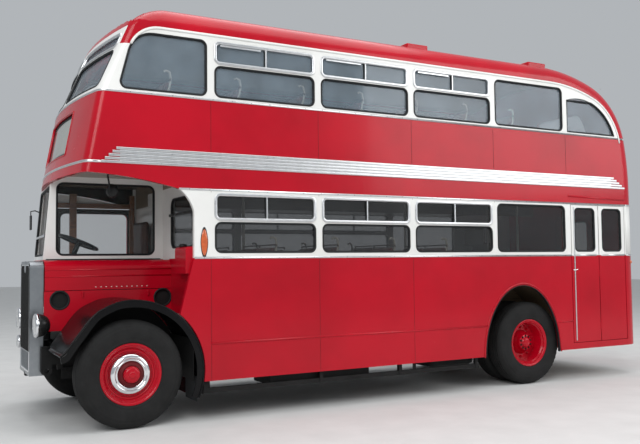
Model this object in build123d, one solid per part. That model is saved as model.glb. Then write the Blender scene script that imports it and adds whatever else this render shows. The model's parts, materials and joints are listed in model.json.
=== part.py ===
from build123d import *
import math
import os

os.makedirs("parts", exist_ok=True)

# Front-engined half-cab double decker with an enclosed rear platform, in millimetres.
# X forward, Y to the nearside (left), Z up; origin on the ground under the middle of the bus.

# Overall sizes
LENGTH = 7780
WIDTH = 2286
HEIGHT = 4090
WHEELBASE = 4953
FRONT_OVERHANG = 840
AXLE_F = LENGTH / 2 - FRONT_OVERHANG
AXLE_R = AXLE_F - WHEELBASE
REAR = -LENGTH / 2
HALF = WIDTH / 2

# Body levels
ROOF_DROP = 309
UPPER_GLAZED_H = 644
SKIRT_Z = 390
WAIST_Z = 1580
CANT_Z = 2245
CANOPY_EDGE_Z = 2370
CANOPY_Z = 2440
BAND_Z = 2455
GUTTER_Z = HEIGHT - ROOF_DROP
UPPER_WAIST_Z = GUTTER_Z - UPPER_GLAZED_H
WALL = 45
INNER = HALF - WALL
SEAM = 6

# Saloon bays
FIRST_PILLAR = AXLE_F - 765
BAY = 1200
BAYS = 4
PILLAR_W = 84
DOOR_POST = 55
LAST_PILLAR = FIRST_PILLAR - BAYS * BAY

# Window rows
WINDOW_CORNER = 65
LOWER_SILL_RISE = 49
LOWER_HEAD_DROP = 37
LOWER_VENT_H = 268
UPPER_SILL_RISE = 31
UPPER_HEAD_DROP = 59
UPPER_VENT_H = 230
LOWER_SILL_Z = WAIST_Z + LOWER_SILL_RISE
LOWER_HEAD_Z = CANT_Z - LOWER_HEAD_DROP
LOWER_RAIL_Z = LOWER_HEAD_Z - LOWER_VENT_H
UPPER_SILL_Z = UPPER_WAIST_Z + UPPER_SILL_RISE
UPPER_HEAD_Z = GUTTER_Z - UPPER_HEAD_DROP
UPPER_RAIL_Z = UPPER_HEAD_Z - UPPER_VENT_H
VENT_RAIL = 24
VENT_BAYS = 3
GLASS = 6

# Roof, its ventilators and rear dome
VENTS_X = (-2900, -4700)
VENT_SIZE = (300, 420, 30)
VENT_SINK = 8
SHOULDER = 250
DOME_TOP_R = 2600
DOME_TOP_ANGLE = 20
LEAN_R = 3500
LEAN_ANGLE = 11.3

# Front end, measured ahead of the front axle at the centre line
FRONT_FOOT_X = 608
FRONT_WAIST_X = 442
FRONT_HEAD_X = 167
FRONT_BOW_SAG = 130
FRONT_CORNER_R = 90
DOME_CORNER_R = 320
DOME_STEPS = 6
FRONT_POST = 83
FRONT_PANE_HALF = HALF - FRONT_POST
FRONT_PANE_GAP = 90
FRONT_SILL_RISE = 48
FRONT_HEAD_DROP = 66
FRONT_VENT_H = 155
FRONT_PANE_SILL_Z = UPPER_WAIST_Z + FRONT_SILL_RISE
FRONT_PANE_HEAD_Z = GUTTER_Z - FRONT_HEAD_DROP
FRONT_PANE_RAIL_Z = FRONT_PANE_HEAD_Z - FRONT_VENT_H
FRONT_PANE_CORNER = 60
BLIND_W = 1120
BLIND_H = 430
BLIND_DROP = 117
BLIND_BOTTOM_Z = UPPER_WAIST_Z - BLIND_DROP - BLIND_H
BLIND_DEPTH = 32

# First and last windows of the upper deck
QUARTER_FOOT_X = 145
QUARTER_HEAD_X = 3
QUARTER_CORNER = 250
QUARTER_GUTTER_GAP = 70
DOME_HORN = ((26, 183), (-52, 76), (-250, 0))
CANOPY_CURVE = ((-441, 0), (-30, 83), (480, 127))

# Fluted strips between the decks
FLUTE_Z = BAND_Z + 4
FLUTE_PITCH = 32
FLUTE_H = 27
FLUTE_PROUD = 10
FLUTE_BACK = 2
FLUTE_FRONT_X = 300
FLUTE_STEP = 35
FLUTE_STEP_REAR = 50

# Floors
FLOOR_T = 40
FLOOR_Z = 775
PLATFORM_Z = 440
DECK_Z = 2380
DECK_T = 45
GANGWAY_W = 500
GANGWAY_DROP = 140
FORE_DECK_Z = CANOPY_Z + DECK_T
STAIR_WELL = 1150

# Bulkhead, bonnet, cab and radiator
BULKHEAD_X = AXLE_F - 620
BULKHEAD_T = 45
PILLAR_FRONT = AXLE_F - 592
PILLAR_CURVE = ((-592, 2030), (-550, 2130), (-441, 2245))
PANEL_FLARE = ((-490, 1185), (-430, 950))
FILLER_BOX = (100, 765, 1430, 1690)
FILLER_ROUND = 30
CAB_NEAR_Y = 30
CAB_FRONT_X = 628
CAB_FRONT_FAR_X = 550
CAB_RAKE = 75
CAB_FLOOR_Z = 1250
CAB_CORNER = 90
CASING_HALF = 300
CASING_TOP_Z = 1332
CAB_T = 36
CAB_PANE_REAR = 95
CAB_PANE_FRONT = 128
CAB_PANE_SILL_Z = 1625
CAB_PANE_HEAD_Z = 2375
CANOPY_GAP = 6
BONNET_HALF = 360
BONNET_TOP_Z = 1572
BONNET_SPLIT_Z = 1275
BONNET_FOOT_Z = 880
BONNET_T = 12
BONNET_ROUND = 90
HOLE_R = 85
HOLE_Z = 1180
HOLE_X = 517
RAD_HALF = 330
RAD_BACK_X = 665
RAD_DEPTH = 125
RAD_FOOT_Z = 455
RAD_TOP_Z = 1565
RAD_ROUND = 80
RAD_RIM = 42
RAD_MESH_H = 190

# Wheels and axles
TYRE_R = 504
TYRE_W = 250
RIM_R = 283
FRONT_TRACK_Y = 980
REAR_OUTER_Y = 950
TWIN_PITCH = 290
KINGPIN_Y = 800
KINGPIN_R = 20
SPINDLE_R = 30
HALFSHAFT_R = 45
FRONT_SPRING_L = 1080
REAR_SPRING_L = 1200
RUNNING = 0.05

# Wings and arches
WING_R = 690
WING_T = 12
WING_IN_Y = BONNET_HALF
WING_OUT_Y = 1133
WING_LIP = 68
WING_ROUND = 18
WING_TOP = 80
WING_END = 203
WING_SWEEP = ((215, 646), (312, 598), (408, 506), (470, 421), (515, 364), (557, 301), (597, 251), (645, 212))
WING_TOE_SLOPE = -10
WING_GAP = 12
ARCH_LEAD = 168
ARCH_X = AXLE_R + ARCH_LEAD
ARCH_A = 600
ARCH_B = 830
BOX_LEAD = 83
BOX_X = AXLE_R + BOX_LEAD
BOX_A = 700
BOX_B = 850
BOX_T = 12
BOX_IN_Y = 500

# Chassis
RAIL_Y = RAD_HALF
RAIL_W = 70
RAIL_FOOT_Z = 565
RAIL_TOP_Z = FLOOR_Z - FLOOR_T
RAIL_T = 8
EYE_X = 640
EYE_Z = 505
EYE_OUT_R = 50
EYE_BORE_R = 22
DUMB_IRON = 160
CROSS_INSET = RAIL_T
CROSS_MEMBERS_X = (480, -900, -2200, -3700, -5400)

# Guard rails under the skirts
GUARD_Z = 290
GUARD_H = 50
GUARD_T = 30
GUARD_INSET = 25
GUARD_START = 690
GUARD_ARCH_GAP = 60
GUARD_BRACKETS_X = (720, 2000, 3000, 4080)
GUARD_BRACKET = 40

# Engine
ENGINE_BACK = 560
ENGINE_FRONT = 500
ENGINE_HALF = 270
ENGINE_TOP_Z = 1290
ENGINE_FEET = (-400, 350)

# Lamps and mirrors
LAMP_X = 715
LAMP_L = 110
LAMP_RIM = 16
LAMP_Y = 600
LAMP_ARM = 30
HEADLAMP_Z = 960
HEADLAMP_R = 105
FOG_Z = 715
FOG_R = 60
MIRROR_AT = (110, 780, 2235)
MIRROR_R = 70
MIRROR_T = 34
MIRROR_ARM_R = 10
SIDE_MIRROR_AT = (592, -1095, 2015)
SIDE_MIRROR = (18, 90, 170)
SIDE_MIRROR_ARM = 16

# Steering wheel
STEER_AT = (160, -560, 1775)
STEER_R = 215
STEER_RIM_R = 15
STEER_TILT = 22

# Seats
SEAT_PITCH = 730
SEAT_W = 880
SEAT_DEPTH = 420
SEAT_H = 420
SEAT_BACK_H = 930
CUSHION_T = 110
BACK_T = 80
SOFT_GAP = 0.3
SEAT_FALL = 15
SEAT_LEAN = 70
LEG_W = 30
LEG_INSET = 60
LOWER_ROWS = 4
UPPER_ROWS = 7

# Platform doors
DOOR_FRONT = LAST_PILLAR - DOOR_POST
DOOR_REAR = REAR + ROOF_DROP + 15
DOOR_FOOT_Z = 475
DOOR_HEAD_Z = 2225
LEAF_T = 36
HINGE_GAP = 12
HINGE_R = 5.5
HINGE_PIN_R = 2.5
KNUCKLE_L = 30
KNUCKLE_GAP = 0.5
POST_HINGES = (600, 1400)
LEAF_HINGES = (620, 1300, 2080)

# Emergency door and cab door
EXIT_HINGES = (800, 1400, 1950)
CAB_DOOR_HINGES = (1300, 1960)
LID_HINGES = (-480, -30, 420)
EXIT_HALF = 330
DOOR_SEAM = 8
EXIT_FOOT_Z = 640
EXIT_HEAD_Z = 2160
HANDLE_Z = 1250
HANDLE_L = 120
HANDLE_T = 12
HANDLE_REACH = 34
CAB_DOOR_FRONT = 330
CAB_DOOR_REAR = -590
CAB_DOOR_HEAD_Z = 2190
DOOR_WING_GAP = WING_GAP + 30
DOOR_HEEL = 60
DOOR_HEEL_Z = 1000


def block(x0, x1, y0, y1, z0, z1):
    """Box between two corners."""
    body = Box(abs(x1 - x0), abs(y1 - y0), abs(z1 - z0))
    return Pos((x0 + x1) / 2, (y0 + y1) / 2, (z0 + z1) / 2) * body


def side_face(edges):
    """Face in the XZ plane from edges drawn as (x, z)."""
    return Plane.XZ * make_face(edges)


def side_plate(face, y_out, thick):
    """Plate on the side plane, from y_out inwards by thick."""
    inward = thick if y_out > 0 else -thick
    return Pos(0, y_out, 0) * extrude(face, amount=inward)


def both_sides(make):
    """The same piece on both sides as separate solids."""
    return Compound(children=[make(1), make(-1)])


def rod(x, z, y0, y1, r):
    """Round bar along Y."""
    return Pos(x, (y0 + y1) / 2, z) * Rot(90, 0, 0) * Cylinder(r, abs(y1 - y0))


def rounded_hole(x0, x1, z0, z1, r=WINDOW_CORNER):
    """Rounded window blank that cuts right across the body in Y."""
    pane = RectangleRounded(abs(x1 - x0), abs(z1 - z0), r)
    pane = Plane.XZ * Pos((x0 + x1) / 2, (z0 + z1) / 2) * pane
    return extrude(pane, amount=WIDTH, both=True)


def rounded_hole_x(y0, y1, z0, z1, x0, x1, r=WINDOW_CORNER):
    """Rounded window blank that cuts along X."""
    pane = RectangleRounded(abs(y1 - y0), abs(z1 - z0), r)
    pane = Plane.YZ * Pos((y0 + y1) / 2, (z0 + z1) / 2) * pane
    return Pos(x0, 0, 0) * extrude(pane, amount=x1 - x0)


def hinge_half(origin, host, axis, moving, flip=False):
    """Half of a pin hinge; host points to the leaf, whose thickness lies to one side of it."""
    side = -1 if flip else 1
    spans = [(0, KNUCKLE_L), (2 * KNUCKLE_L, 3 * KNUCKLE_L)]
    if moving:
        spans = [(KNUCKLE_L + KNUCKLE_GAP, 2 * KNUCKLE_L - KNUCKLE_GAP)]
    body = None
    for z0, z1 in spans:
        barrel = Pos(0, 0, (z0 + z1) / 2) * Cylinder(HINGE_R, z1 - z0)
        knuckle_part = barrel + block(0, HINGE_GAP / 2 + 1, 0, side * HINGE_R, z0, z1)
        body = knuckle_part if body is None else body + knuckle_part
    pin_r = HINGE_PIN_R + (RUNNING if moving else 0)
    pin = Pos(0, 0, 1.5 * KNUCKLE_L) * Cylinder(pin_r, 3 * KNUCKLE_L)
    body = body - pin if moving else body + pin
    return Plane(origin=origin, x_dir=host, z_dir=axis) * body


def save(name, shape):
    """Write one piece."""
    if isinstance(shape, (list, ShapeList)):
        shape = Compound(children=list(shape))
    export_step(shape, f"parts/{name}.step")


# Roof section, swept round the roof, dome and rear end
CROWN_R = ((HALF - SHOULDER) ** 2 + ROOF_DROP**2 - SHOULDER**2) / (2 * (ROOF_DROP - SHOULDER))


def skin_curve(inset):
    """Half-round shoulder, crown and shoulder, inset from the outside; ends at the roof drop."""
    cy = HALF - SHOULDER
    lean = math.atan2(cy, CROWN_R - ROOF_DROP)
    r = SHOULDER - inset
    joint = (cy + r * math.sin(lean), -ROOF_DROP + r * math.cos(lean))
    knee = (lean + math.pi / 2) / 2
    mid = (cy + r * math.sin(knee), -ROOF_DROP + r * math.cos(knee))
    left = ThreePointArc((HALF - inset, -ROOF_DROP), mid, joint)
    crown = ThreePointArc(joint, (0, -inset), (-joint[0], joint[1]))
    right = ThreePointArc((-joint[0], joint[1]), (-mid[0], mid[1]), (inset - HALF, -ROOF_DROP))
    return [left, crown, right]


def skin_section(inset, thick):
    """Closed strip of the skin."""
    outer = skin_curve(inset)
    inner = skin_curve(inset + thick)
    end_a = Line((HALF - inset, -ROOF_DROP), (HALF - inset - thick, -ROOF_DROP))
    end_b = Line((inset - HALF, -ROOF_DROP), (inset + thick - HALF, -ROOF_DROP))
    return make_face(outer + inner + [end_a, end_b])


def filled_section(inset):
    """Whole region inside the skin, down to the roof drop."""
    return make_face(skin_curve(inset) + [Line((HALF - inset, -ROOF_DROP), (inset - HALF, -ROOF_DROP))])


def dome_stations():
    """Arcs from the roof to the rear wall: centre, radius, start and turn in degrees from the top."""
    lean_dz = LEAN_R * math.sin(math.radians(LEAN_ANGLE))
    top_dz = DOME_TOP_R * (1 - math.cos(math.radians(DOME_TOP_ANGLE)))
    cos_a = math.cos(math.radians(DOME_TOP_ANGLE))
    cos_b = math.cos(math.radians(90 - LEAN_ANGLE))
    mid_r = (HEIGHT - top_dz - BAND_Z - lean_dz) / (cos_a - cos_b)
    lean_c = (REAR + LEAN_R, BAND_Z)
    hinge = 90 - LEAN_ANGLE
    join = (
        lean_c[0] - LEAN_R * math.sin(math.radians(hinge)),
        lean_c[1] + LEAN_R * math.cos(math.radians(hinge)),
    )
    mid_c = (
        join[0] + mid_r * math.sin(math.radians(hinge)),
        join[1] - mid_r * math.cos(math.radians(hinge)),
    )
    top = (
        mid_c[0] - mid_r * math.sin(math.radians(DOME_TOP_ANGLE)),
        mid_c[1] + mid_r * math.cos(math.radians(DOME_TOP_ANGLE)),
    )
    top_c = (top[0] + DOME_TOP_R * math.sin(math.radians(DOME_TOP_ANGLE)), HEIGHT - DOME_TOP_R)
    return [
        (top_c, DOME_TOP_R, 0, DOME_TOP_ANGLE),
        (mid_c, mid_r, DOME_TOP_ANGLE, 90 - LEAN_ANGLE - DOME_TOP_ANGLE),
        (lean_c, LEAN_R, 90 - LEAN_ANGLE, LEAN_ANGLE),
    ]


STATIONS = dome_stations()
ROOF_END = STATIONS[0][0][0]


def place_section(face, point, angle):
    """Section laid at a point of the profile whose outward normal is angle back from the top."""
    a = math.radians(angle)
    plane = Plane(origin=(point[0], 0, point[1]), x_dir=(0, 1, 0), z_dir=(math.cos(a), 0, math.sin(a)))
    return plane * face


def wrap(face, foot_z=SKIRT_Z, front_x=AXLE_F + FRONT_OVERHANG):
    """Section carried along the roof, round the dome and down the rear."""
    roof = extrude(place_section(face, (ROOF_END, HEIGHT), 0), amount=front_x - ROOF_END)
    parts = [roof]
    for (cx, cz), r, start, turn in STATIONS:
        a = math.radians(start)
        at = (cx - r * math.sin(a), cz + r * math.cos(a))
        axis = Axis((cx, 0, cz), (0, 1, 0))
        parts.append(revolve(place_section(face, at, start), axis, revolution_arc=-turn))
    rear = place_section(face, (REAR, foot_z), 90)
    parts.append(extrude(rear, amount=BAND_Z - foot_z))
    body = parts[0]
    for piece in parts[1:]:
        body = body + piece
    return body


def gutter_edges():
    """Edges of the side panel along the roof gutter, dome and rear corner, front to back."""
    edges = []
    for (cx, cz), r, start, turn in STATIONS:
        r = r - ROOF_DROP
        angles = [math.radians(start + turn * share) for share in (0, 0.5, 1)]
        pts = [(cx - r * math.sin(a), cz + r * math.cos(a)) for a in angles]
        edges.append(ThreePointArc(*pts))
    return edges


# Bowed front, built up from plan outlines at a few heights
HEAD_BACK = FIRST_PILLAR - BAY
FRONT_LEAN = math.atan2(FRONT_WAIST_X - FRONT_HEAD_X, GUTTER_Z - UPPER_WAIST_Z)
FRONT_DOME_R = ROOF_DROP / (1 - math.sin(FRONT_LEAN))
FRONT_DOME_X = FRONT_HEAD_X - FRONT_DOME_R * math.cos(FRONT_LEAN)
FRONT_DOME_Z = GUTTER_Z - FRONT_DOME_R * math.sin(FRONT_LEAN)


def head_outline(reach, z, half, corner):
    """Plan of the front at one height, bowed and with rounded corners."""
    front = AXLE_F + reach
    side = front - FRONT_BOW_SAG * (half / HALF) ** 2
    outline = make_face(
        [
            Line((HEAD_BACK, half), (side, half)),
            ThreePointArc((side, half), (front, 0), (side, -half)),
            Line((side, -half), (HEAD_BACK, -half)),
            Line((HEAD_BACK, -half), (HEAD_BACK, half)),
        ]
    )
    if corner:
        outline = fillet(outline.vertices().sort_by(Axis.X)[-2:], corner)
    return Pos(0, 0, z) * outline


def dome_levels(inset):
    """Reach, height and share of the turn up the front dome."""
    levels = [(FRONT_HEAD_X - inset, GUTTER_Z, 0)]
    for i in range(1, DOME_STEPS + 1):
        share = i / DOME_STEPS
        a = FRONT_LEAN + (math.pi / 2 - FRONT_LEAN) * share
        r = FRONT_DOME_R - inset
        levels.append((FRONT_DOME_X + r * math.cos(a), FRONT_DOME_Z + r * math.sin(a), share))
    return levels


def head(inset, side_inset=0, rounded=True):
    """Everything behind the bowed front, set in by inset."""
    half = HALF - side_inset

    def outline(reach, z, share=0):
        corner = FRONT_CORNER_R + (DOME_CORNER_R - FRONT_CORNER_R) * share - inset if rounded else 0
        return head_outline(reach, z, half, corner)

    foot = outline(FRONT_FOOT_X - inset, CANT_Z)
    waist = outline(FRONT_WAIST_X - inset, UPPER_WAIST_Z)
    dome = [outline(*row) for row in dome_levels(inset)]
    body = loft([foot, waist], ruled=True) + loft([waist, dome[0]], ruled=True)
    return body + loft(dome) + extrude(dome[-1], amount=2 * WALL, dir=(0, 0, 1))


def under_roof(inset):
    """Space between the sides and under the roof skin."""
    crown = extrude(place_section(filled_section(inset), (HEAD_BACK, HEIGHT), 0), amount=LENGTH)
    return crown + block(HEAD_BACK, HEAD_BACK + LENGTH, inset - HALF, HALF - inset, CANT_Z, GUTTER_Z)


FRONT_OUT = head(0) & under_roof(0)
FRONT_IN = head(WALL, WALL) & under_roof(WALL)
BEHIND_FRONT = head(WALL, rounded=False)


def level(z0, z1):
    """Slab of space between two heights."""
    return block(2 * REAR, -2 * REAR, -2 * HALF, 2 * HALF, z0, z1)


def front_shell():
    """Skin of the bowed front, between the side walls and the roof."""
    return FRONT_OUT - BEHIND_FRONT


def dome_horn():
    """Lower tip of the roof dome on each front corner."""
    (x0, z0), mid, end = [(AXLE_F + x, GUTTER_Z - drop) for x, drop in DOME_HORN]
    edges = [
        ThreePointArc((x0, z0), mid, end),
        Line(end, (LENGTH, GUTTER_Z)),
        Line((LENGTH, GUTTER_Z), (LENGTH, z0)),
        Line((LENGTH, z0), (x0, z0)),
    ]
    tip = extrude(side_face(edges), amount=WIDTH, both=True)
    return tip - block(2 * REAR, 2 * LENGTH, -INNER, INNER, 0, HEIGHT)


def roof():
    """Roof, rear dome and front dome in one skin."""
    back = wrap(skin_section(0, WALL)) & block(2 * REAR, FIRST_PILLAR, -2 * HALF, 2 * HALF, UPPER_WAIST_Z, 2 * HEIGHT)
    fore = (FRONT_OUT - FRONT_IN) & block(FIRST_PILLAR, LENGTH, -2 * HALF, 2 * HALF, GUTTER_Z, 2 * HEIGHT)
    body = back + fore + (FRONT_OUT & dome_horn())
    body = body - rear_window()
    for x in VENTS_X:
        body = body + Pos(AXLE_F + x, 0, HEIGHT - VENT_SINK) * Box(*VENT_SIZE)
    return body


def rear_window():
    """Opening of the upper rear window."""
    return rounded_hole_x(-420, 420, UPPER_SILL_Z + 40, UPPER_HEAD_Z - 120, REAR - 10, REAR + 500)


def side_blank():
    """Outline of one whole side from the skirt to the gutter."""
    back_x = REAR + ROOF_DROP
    front_x = AXLE_F + FRONT_OVERHANG
    edges = [Line((front_x, GUTTER_Z), (ROOF_END, GUTTER_Z))]
    edges += gutter_edges()
    edges += [
        Line((back_x, BAND_Z), (back_x, SKIRT_Z)),
        Line((back_x, SKIRT_Z), (front_x, SKIRT_Z)),
        Line((front_x, SKIRT_Z), (front_x, GUTTER_Z)),
    ]
    return side_face(edges)


SIDE = side_blank()


def side_wall(side, z0, z1):
    """One level of one side wall."""
    return side_plate(SIDE, side * HALF, WALL) & level(z0, z1)


def bay_x(index):
    """Front and back edge of the window in a bay."""
    front = FIRST_PILLAR - index * BAY - PILLAR_W / 2
    return front - BAY + PILLAR_W, front


# Window table: bay, deck, whether it has vents
WINDOWS = [(i, deck, i < VENT_BAYS) for deck in ("lower", "upper") for i in range(BAYS)]
ROWS = {
    "lower": (LOWER_SILL_Z, LOWER_RAIL_Z, LOWER_HEAD_Z),
    "upper": (UPPER_SILL_Z, UPPER_RAIL_Z, UPPER_HEAD_Z),
}


def pane_boxes(deck):
    """Panes of one deck as x0, x1, z0, z1."""
    panes = []
    for index, row, vents in WINDOWS:
        if row != deck:
            continue
        x0, x1 = bay_x(index)
        sill, rail, head = ROWS[row]
        if vents:
            panes.append((x0, x1, sill, rail - VENT_RAIL / 2))
            panes.append((x0, x1, rail + VENT_RAIL / 2, head))
        else:
            panes.append((x0, x1, sill, head))
    return panes


def front_quarter_pane():
    """Raked first window of the upper deck with its large top corner."""
    rear = FIRST_PILLAR + PILLAR_W / 2
    foot = AXLE_F + QUARTER_FOOT_X
    top = AXLE_F + QUARTER_HEAD_X
    outline = Polygon(
        (rear, UPPER_SILL_Z), (foot, UPPER_SILL_Z), (top, UPPER_HEAD_Z), (rear, UPPER_HEAD_Z), align=None
    )
    by_height = outline.vertices().sort_by(Axis.Y)
    front_top = by_height[-2:].sort_by(Axis.X)[-1]
    outline = fillet(front_top, QUARTER_CORNER)
    sharp = [v for v in outline.vertices() if v.X < rear + 1 or v.Y < UPPER_SILL_Z + 1]
    outline = fillet(sharp, WINDOW_CORNER)
    return extrude(Plane.XZ * outline, amount=WIDTH, both=True)


def rear_quarter_pane():
    """Last window of the upper deck, under the falling gutter."""
    (cx, cz), r, _, _ = STATIONS[1]
    r = r - ROOF_DROP - QUARTER_GUTTER_GAP
    front = LAST_PILLAR - PILLAR_W / 2
    angle = math.asin((UPPER_SILL_Z - cz) / r)
    foot = cx - r * math.cos(angle)
    top_z = cz + math.sqrt(r**2 - (front - cx) ** 2) if abs(front - cx) < r else UPPER_HEAD_Z
    top_z = min(top_z, UPPER_HEAD_Z)
    mid_a = (angle + math.atan2(top_z - cz, cx - front)) / 2
    mid = (cx - r * math.cos(mid_a), cz + r * math.sin(mid_a))
    edges = [
        Line((front, top_z), (front, UPPER_SILL_Z)),
        Line((front, UPPER_SILL_Z), (foot, UPPER_SILL_Z)),
        ThreePointArc((foot, UPPER_SILL_Z), mid, (front, top_z)),
    ]
    return extrude(side_face(edges), amount=WIDTH, both=True)


def wing_cylinder(gap=WING_GAP):
    """Space taken by the front wing, right across the bus."""
    return rod(AXLE_F, TYRE_R, -HALF - 50, HALF + 50, WING_R + gap)


def arch_blank():
    """Rear wheel arch opening."""
    oval = Plane.XZ * Pos(ARCH_X, SKIRT_Z) * Ellipse(ARCH_A, ARCH_B)
    return extrude(oval, amount=WIDTH, both=True)


def panel_edges():
    """Outline of the nearside panel, its front edge flared down to the wing."""
    line = [(2 * REAR, WAIST_Z), (PILLAR_FRONT, WAIST_Z)]
    line += [(AXLE_F + x, z) for x, z in PANEL_FLARE]
    line += [(line[-1][0], 0), (2 * REAR, 0)]
    return [Line(a, b) for a, b in zip(line, line[1:] + line[:1])]


def filler_box():
    """Upright box beside the bulkhead window."""
    reach, y0, z0, z1 = FILLER_BOX
    box = block(BULKHEAD_X, BULKHEAD_X + reach, y0, INNER, z0, z1)
    edge = box.edges().filter_by(Axis.Y).sort_by(Axis.Z)[-2:].sort_by(Axis.X)[-1]
    return fillet(edge, FILLER_ROUND)


def lower_side_panels():
    """Red panels under the waist."""
    arch = arch_blank()
    space = wing_cylinder()

    def one(side):
        wall = side_wall(side, SKIRT_Z, WAIST_Z)
        if side > 0:
            wall = wall & extrude(side_face(panel_edges()), amount=WIDTH, both=True)
            wall = wall + filler_box()
        else:
            wall = wall & block(2 * REAR, BULKHEAD_X, -2 * HALF, 2 * HALF, 0, WAIST_Z)
        if side > 0:
            wall = wall - block(DOOR_REAR, DOOR_FRONT, 0, 2 * HALF, DOOR_FOOT_Z - SEAM, WAIST_Z)
        wall = wall - arch - space
        if side > 0:
            for z in POST_HINGES:
                origin = (DOOR_FRONT - HINGE_GAP / 2, HALF - LEAF_T, z)
                wall = wall + hinge_half(origin, (1, 0, 0), (0, 0, 1), moving=False)
        return wall

    return both_sides(one)


def lower_window_pillars():
    """White pillars and rails between waist and cant."""
    holes = [rounded_hole(*pane) for pane in pane_boxes("lower")]

    def one(side):
        wall = side_wall(side, WAIST_Z, CANT_Z)
        front = PILLAR_FRONT if side > 0 else BULKHEAD_X
        wall = wall & block(2 * REAR, front, -2 * HALF, 2 * HALF, 0, CANT_Z)
        if side > 0:
            foot, mid, top = [(AXLE_F + x, z) for x, z in PILLAR_CURVE]
            flare = side_face([ThreePointArc(foot, mid, top), Line(top, (foot[0], CANT_Z)), Line((foot[0], CANT_Z), foot)])
            wall = wall + side_plate(flare, HALF, WALL)
            wall = wall - block(DOOR_REAR, DOOR_FRONT, 0, 2 * HALF, WAIST_Z, DOOR_HEAD_Z + SEAM)
        for hole in holes:
            wall = wall - hole
        return wall

    return both_sides(one)


def canopy_cut(drop=0):
    """Space under the curved lower edge of the panels beside the canopy, lowered by drop."""
    start, mid, end = [(AXLE_F + x, CANT_Z + rise - drop) for x, rise in CANOPY_CURVE]
    edges = [
        ThreePointArc(start, mid, end),
        Line(end, (LENGTH, end[1])),
        Line((LENGTH, end[1]), (LENGTH, SKIRT_Z)),
        Line((LENGTH, SKIRT_Z), (start[0], SKIRT_Z)),
        Line((start[0], SKIRT_Z), start),
    ]
    return extrude(side_face(edges), amount=WIDTH, both=True)


def upper_side_panels():
    """Red panels between cant and upper waist."""
    fore = side_end() - canopy_cut()
    return both_sides(lambda side: side_wall(side, CANT_Z, UPPER_WAIST_Z) & fore)


def side_end():
    """Everything behind the inner face of the bowed front, within its rounded corners."""
    return (BEHIND_FRONT & FRONT_OUT) + block(2 * REAR, HEAD_BACK, -HALF, HALF, 0, HEIGHT)


def upper_window_pillars():
    """White pillars between upper waist and gutter."""
    holes = [rounded_hole(*pane) for pane in pane_boxes("upper")]
    holes += [front_quarter_pane(), rear_quarter_pane(), dome_horn()]
    fore = side_end()

    def one(side):
        wall = side_wall(side, UPPER_WAIST_Z, GUTTER_Z) & fore
        for hole in holes:
            wall = wall - hole
        return wall

    return both_sides(one)


def front_panes():
    """Two front windows of the upper deck, each with a vent above."""
    rows = (
        (FRONT_PANE_SILL_Z, FRONT_PANE_RAIL_Z - VENT_RAIL / 2),
        (FRONT_PANE_RAIL_Z + VENT_RAIL / 2, FRONT_PANE_HEAD_Z),
    )
    panes = []
    for side in (1, -1):
        y0 = side * FRONT_PANE_GAP / 2
        y1 = side * FRONT_PANE_HALF
        for z0, z1 in rows:
            panes.append(rounded_hole_x(y0, y1, z0, z1, HEAD_BACK, AXLE_F + FRONT_OVERHANG, FRONT_PANE_CORNER))
    return panes


def upper_front_panel():
    """Red bowed panel with the recess for the destination blind."""
    panel = front_shell() & level(CANOPY_EDGE_Z, UPPER_WAIST_Z)
    recess = block(
        AXLE_F, AXLE_F + FRONT_OVERHANG, -BLIND_W / 2, BLIND_W / 2, BLIND_BOTTOM_Z, BLIND_BOTTOM_Z + BLIND_H
    )
    return panel - (recess - head(BLIND_DEPTH))


def upper_front_frame():
    """White surround of the two front windows."""
    frame = front_shell() & level(UPPER_WAIST_Z, GUTTER_Z)
    for pane in front_panes():
        frame = frame - pane
    return frame - dome_horn()


def exit_blank(gap=0, hinge_gap=0):
    """Emergency door outline in the rear wall."""
    y0 = -EXIT_HALF - hinge_gap
    return block(REAR - 50, REAR + 300, y0, EXIT_HALF + gap, EXIT_FOOT_Z - gap, EXIT_HEAD_Z + gap)


def exit_hinge(z):
    """Axis point of one emergency door hinge on the outer face."""
    y = -EXIT_HALF - HINGE_GAP / 2
    return (REAR + CROWN_R - math.sqrt(CROWN_R**2 - y**2), y, z)


def lower_rear_panel():
    """Rear wall and corners up to the band."""
    skin = wrap(skin_section(0, WALL)) & level(SKIRT_Z, BAND_Z)
    skin = skin - exit_blank(DOOR_SEAM, HINGE_GAP)
    for z in EXIT_HINGES:
        skin = skin + hinge_half(exit_hinge(z), (0, -1, 0), (0, 0, 1), moving=False)
    return skin


def upper_rear_panel():
    """Rear wall between band and upper waist."""
    return wrap(skin_section(0, WALL)) & level(BAND_Z, UPPER_WAIST_Z)


def exit_window():
    """Opening of the emergency door window."""
    return rounded_hole_x(-240, 240, LOWER_SILL_Z, LOWER_HEAD_Z - 120, REAR - 50, REAR + 300)


def exit_handle():
    """Bar handle on two posts near the free edge of the emergency door."""
    y1 = EXIT_HALF - HANDLE_L / 2
    y0 = y1 - HANDLE_L
    low, high = HANDLE_Z - HANDLE_T, HANDLE_Z + HANDLE_T
    back = REAR - HANDLE_REACH
    bar = block(back, back + HANDLE_T, y0, y1, low, high)
    for y in (y0, y1 - 2 * HANDLE_T):
        bar = bar + block(back, REAR + WALL / 2, y, y + 2 * HANDLE_T, low, high)
    return bar


def emergency_door():
    """Emergency door with its window and handle, hinged at its offside edge."""
    skin = wrap(skin_section(0, WALL)) & level(SKIRT_Z, BAND_Z)
    door = skin & exit_blank()
    door = door - exit_window() + exit_handle()
    for z in EXIT_HINGES:
        door = door + hinge_half(exit_hinge(z), (0, 1, 0), (0, 0, 1), moving=True, flip=True)
    return door


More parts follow.
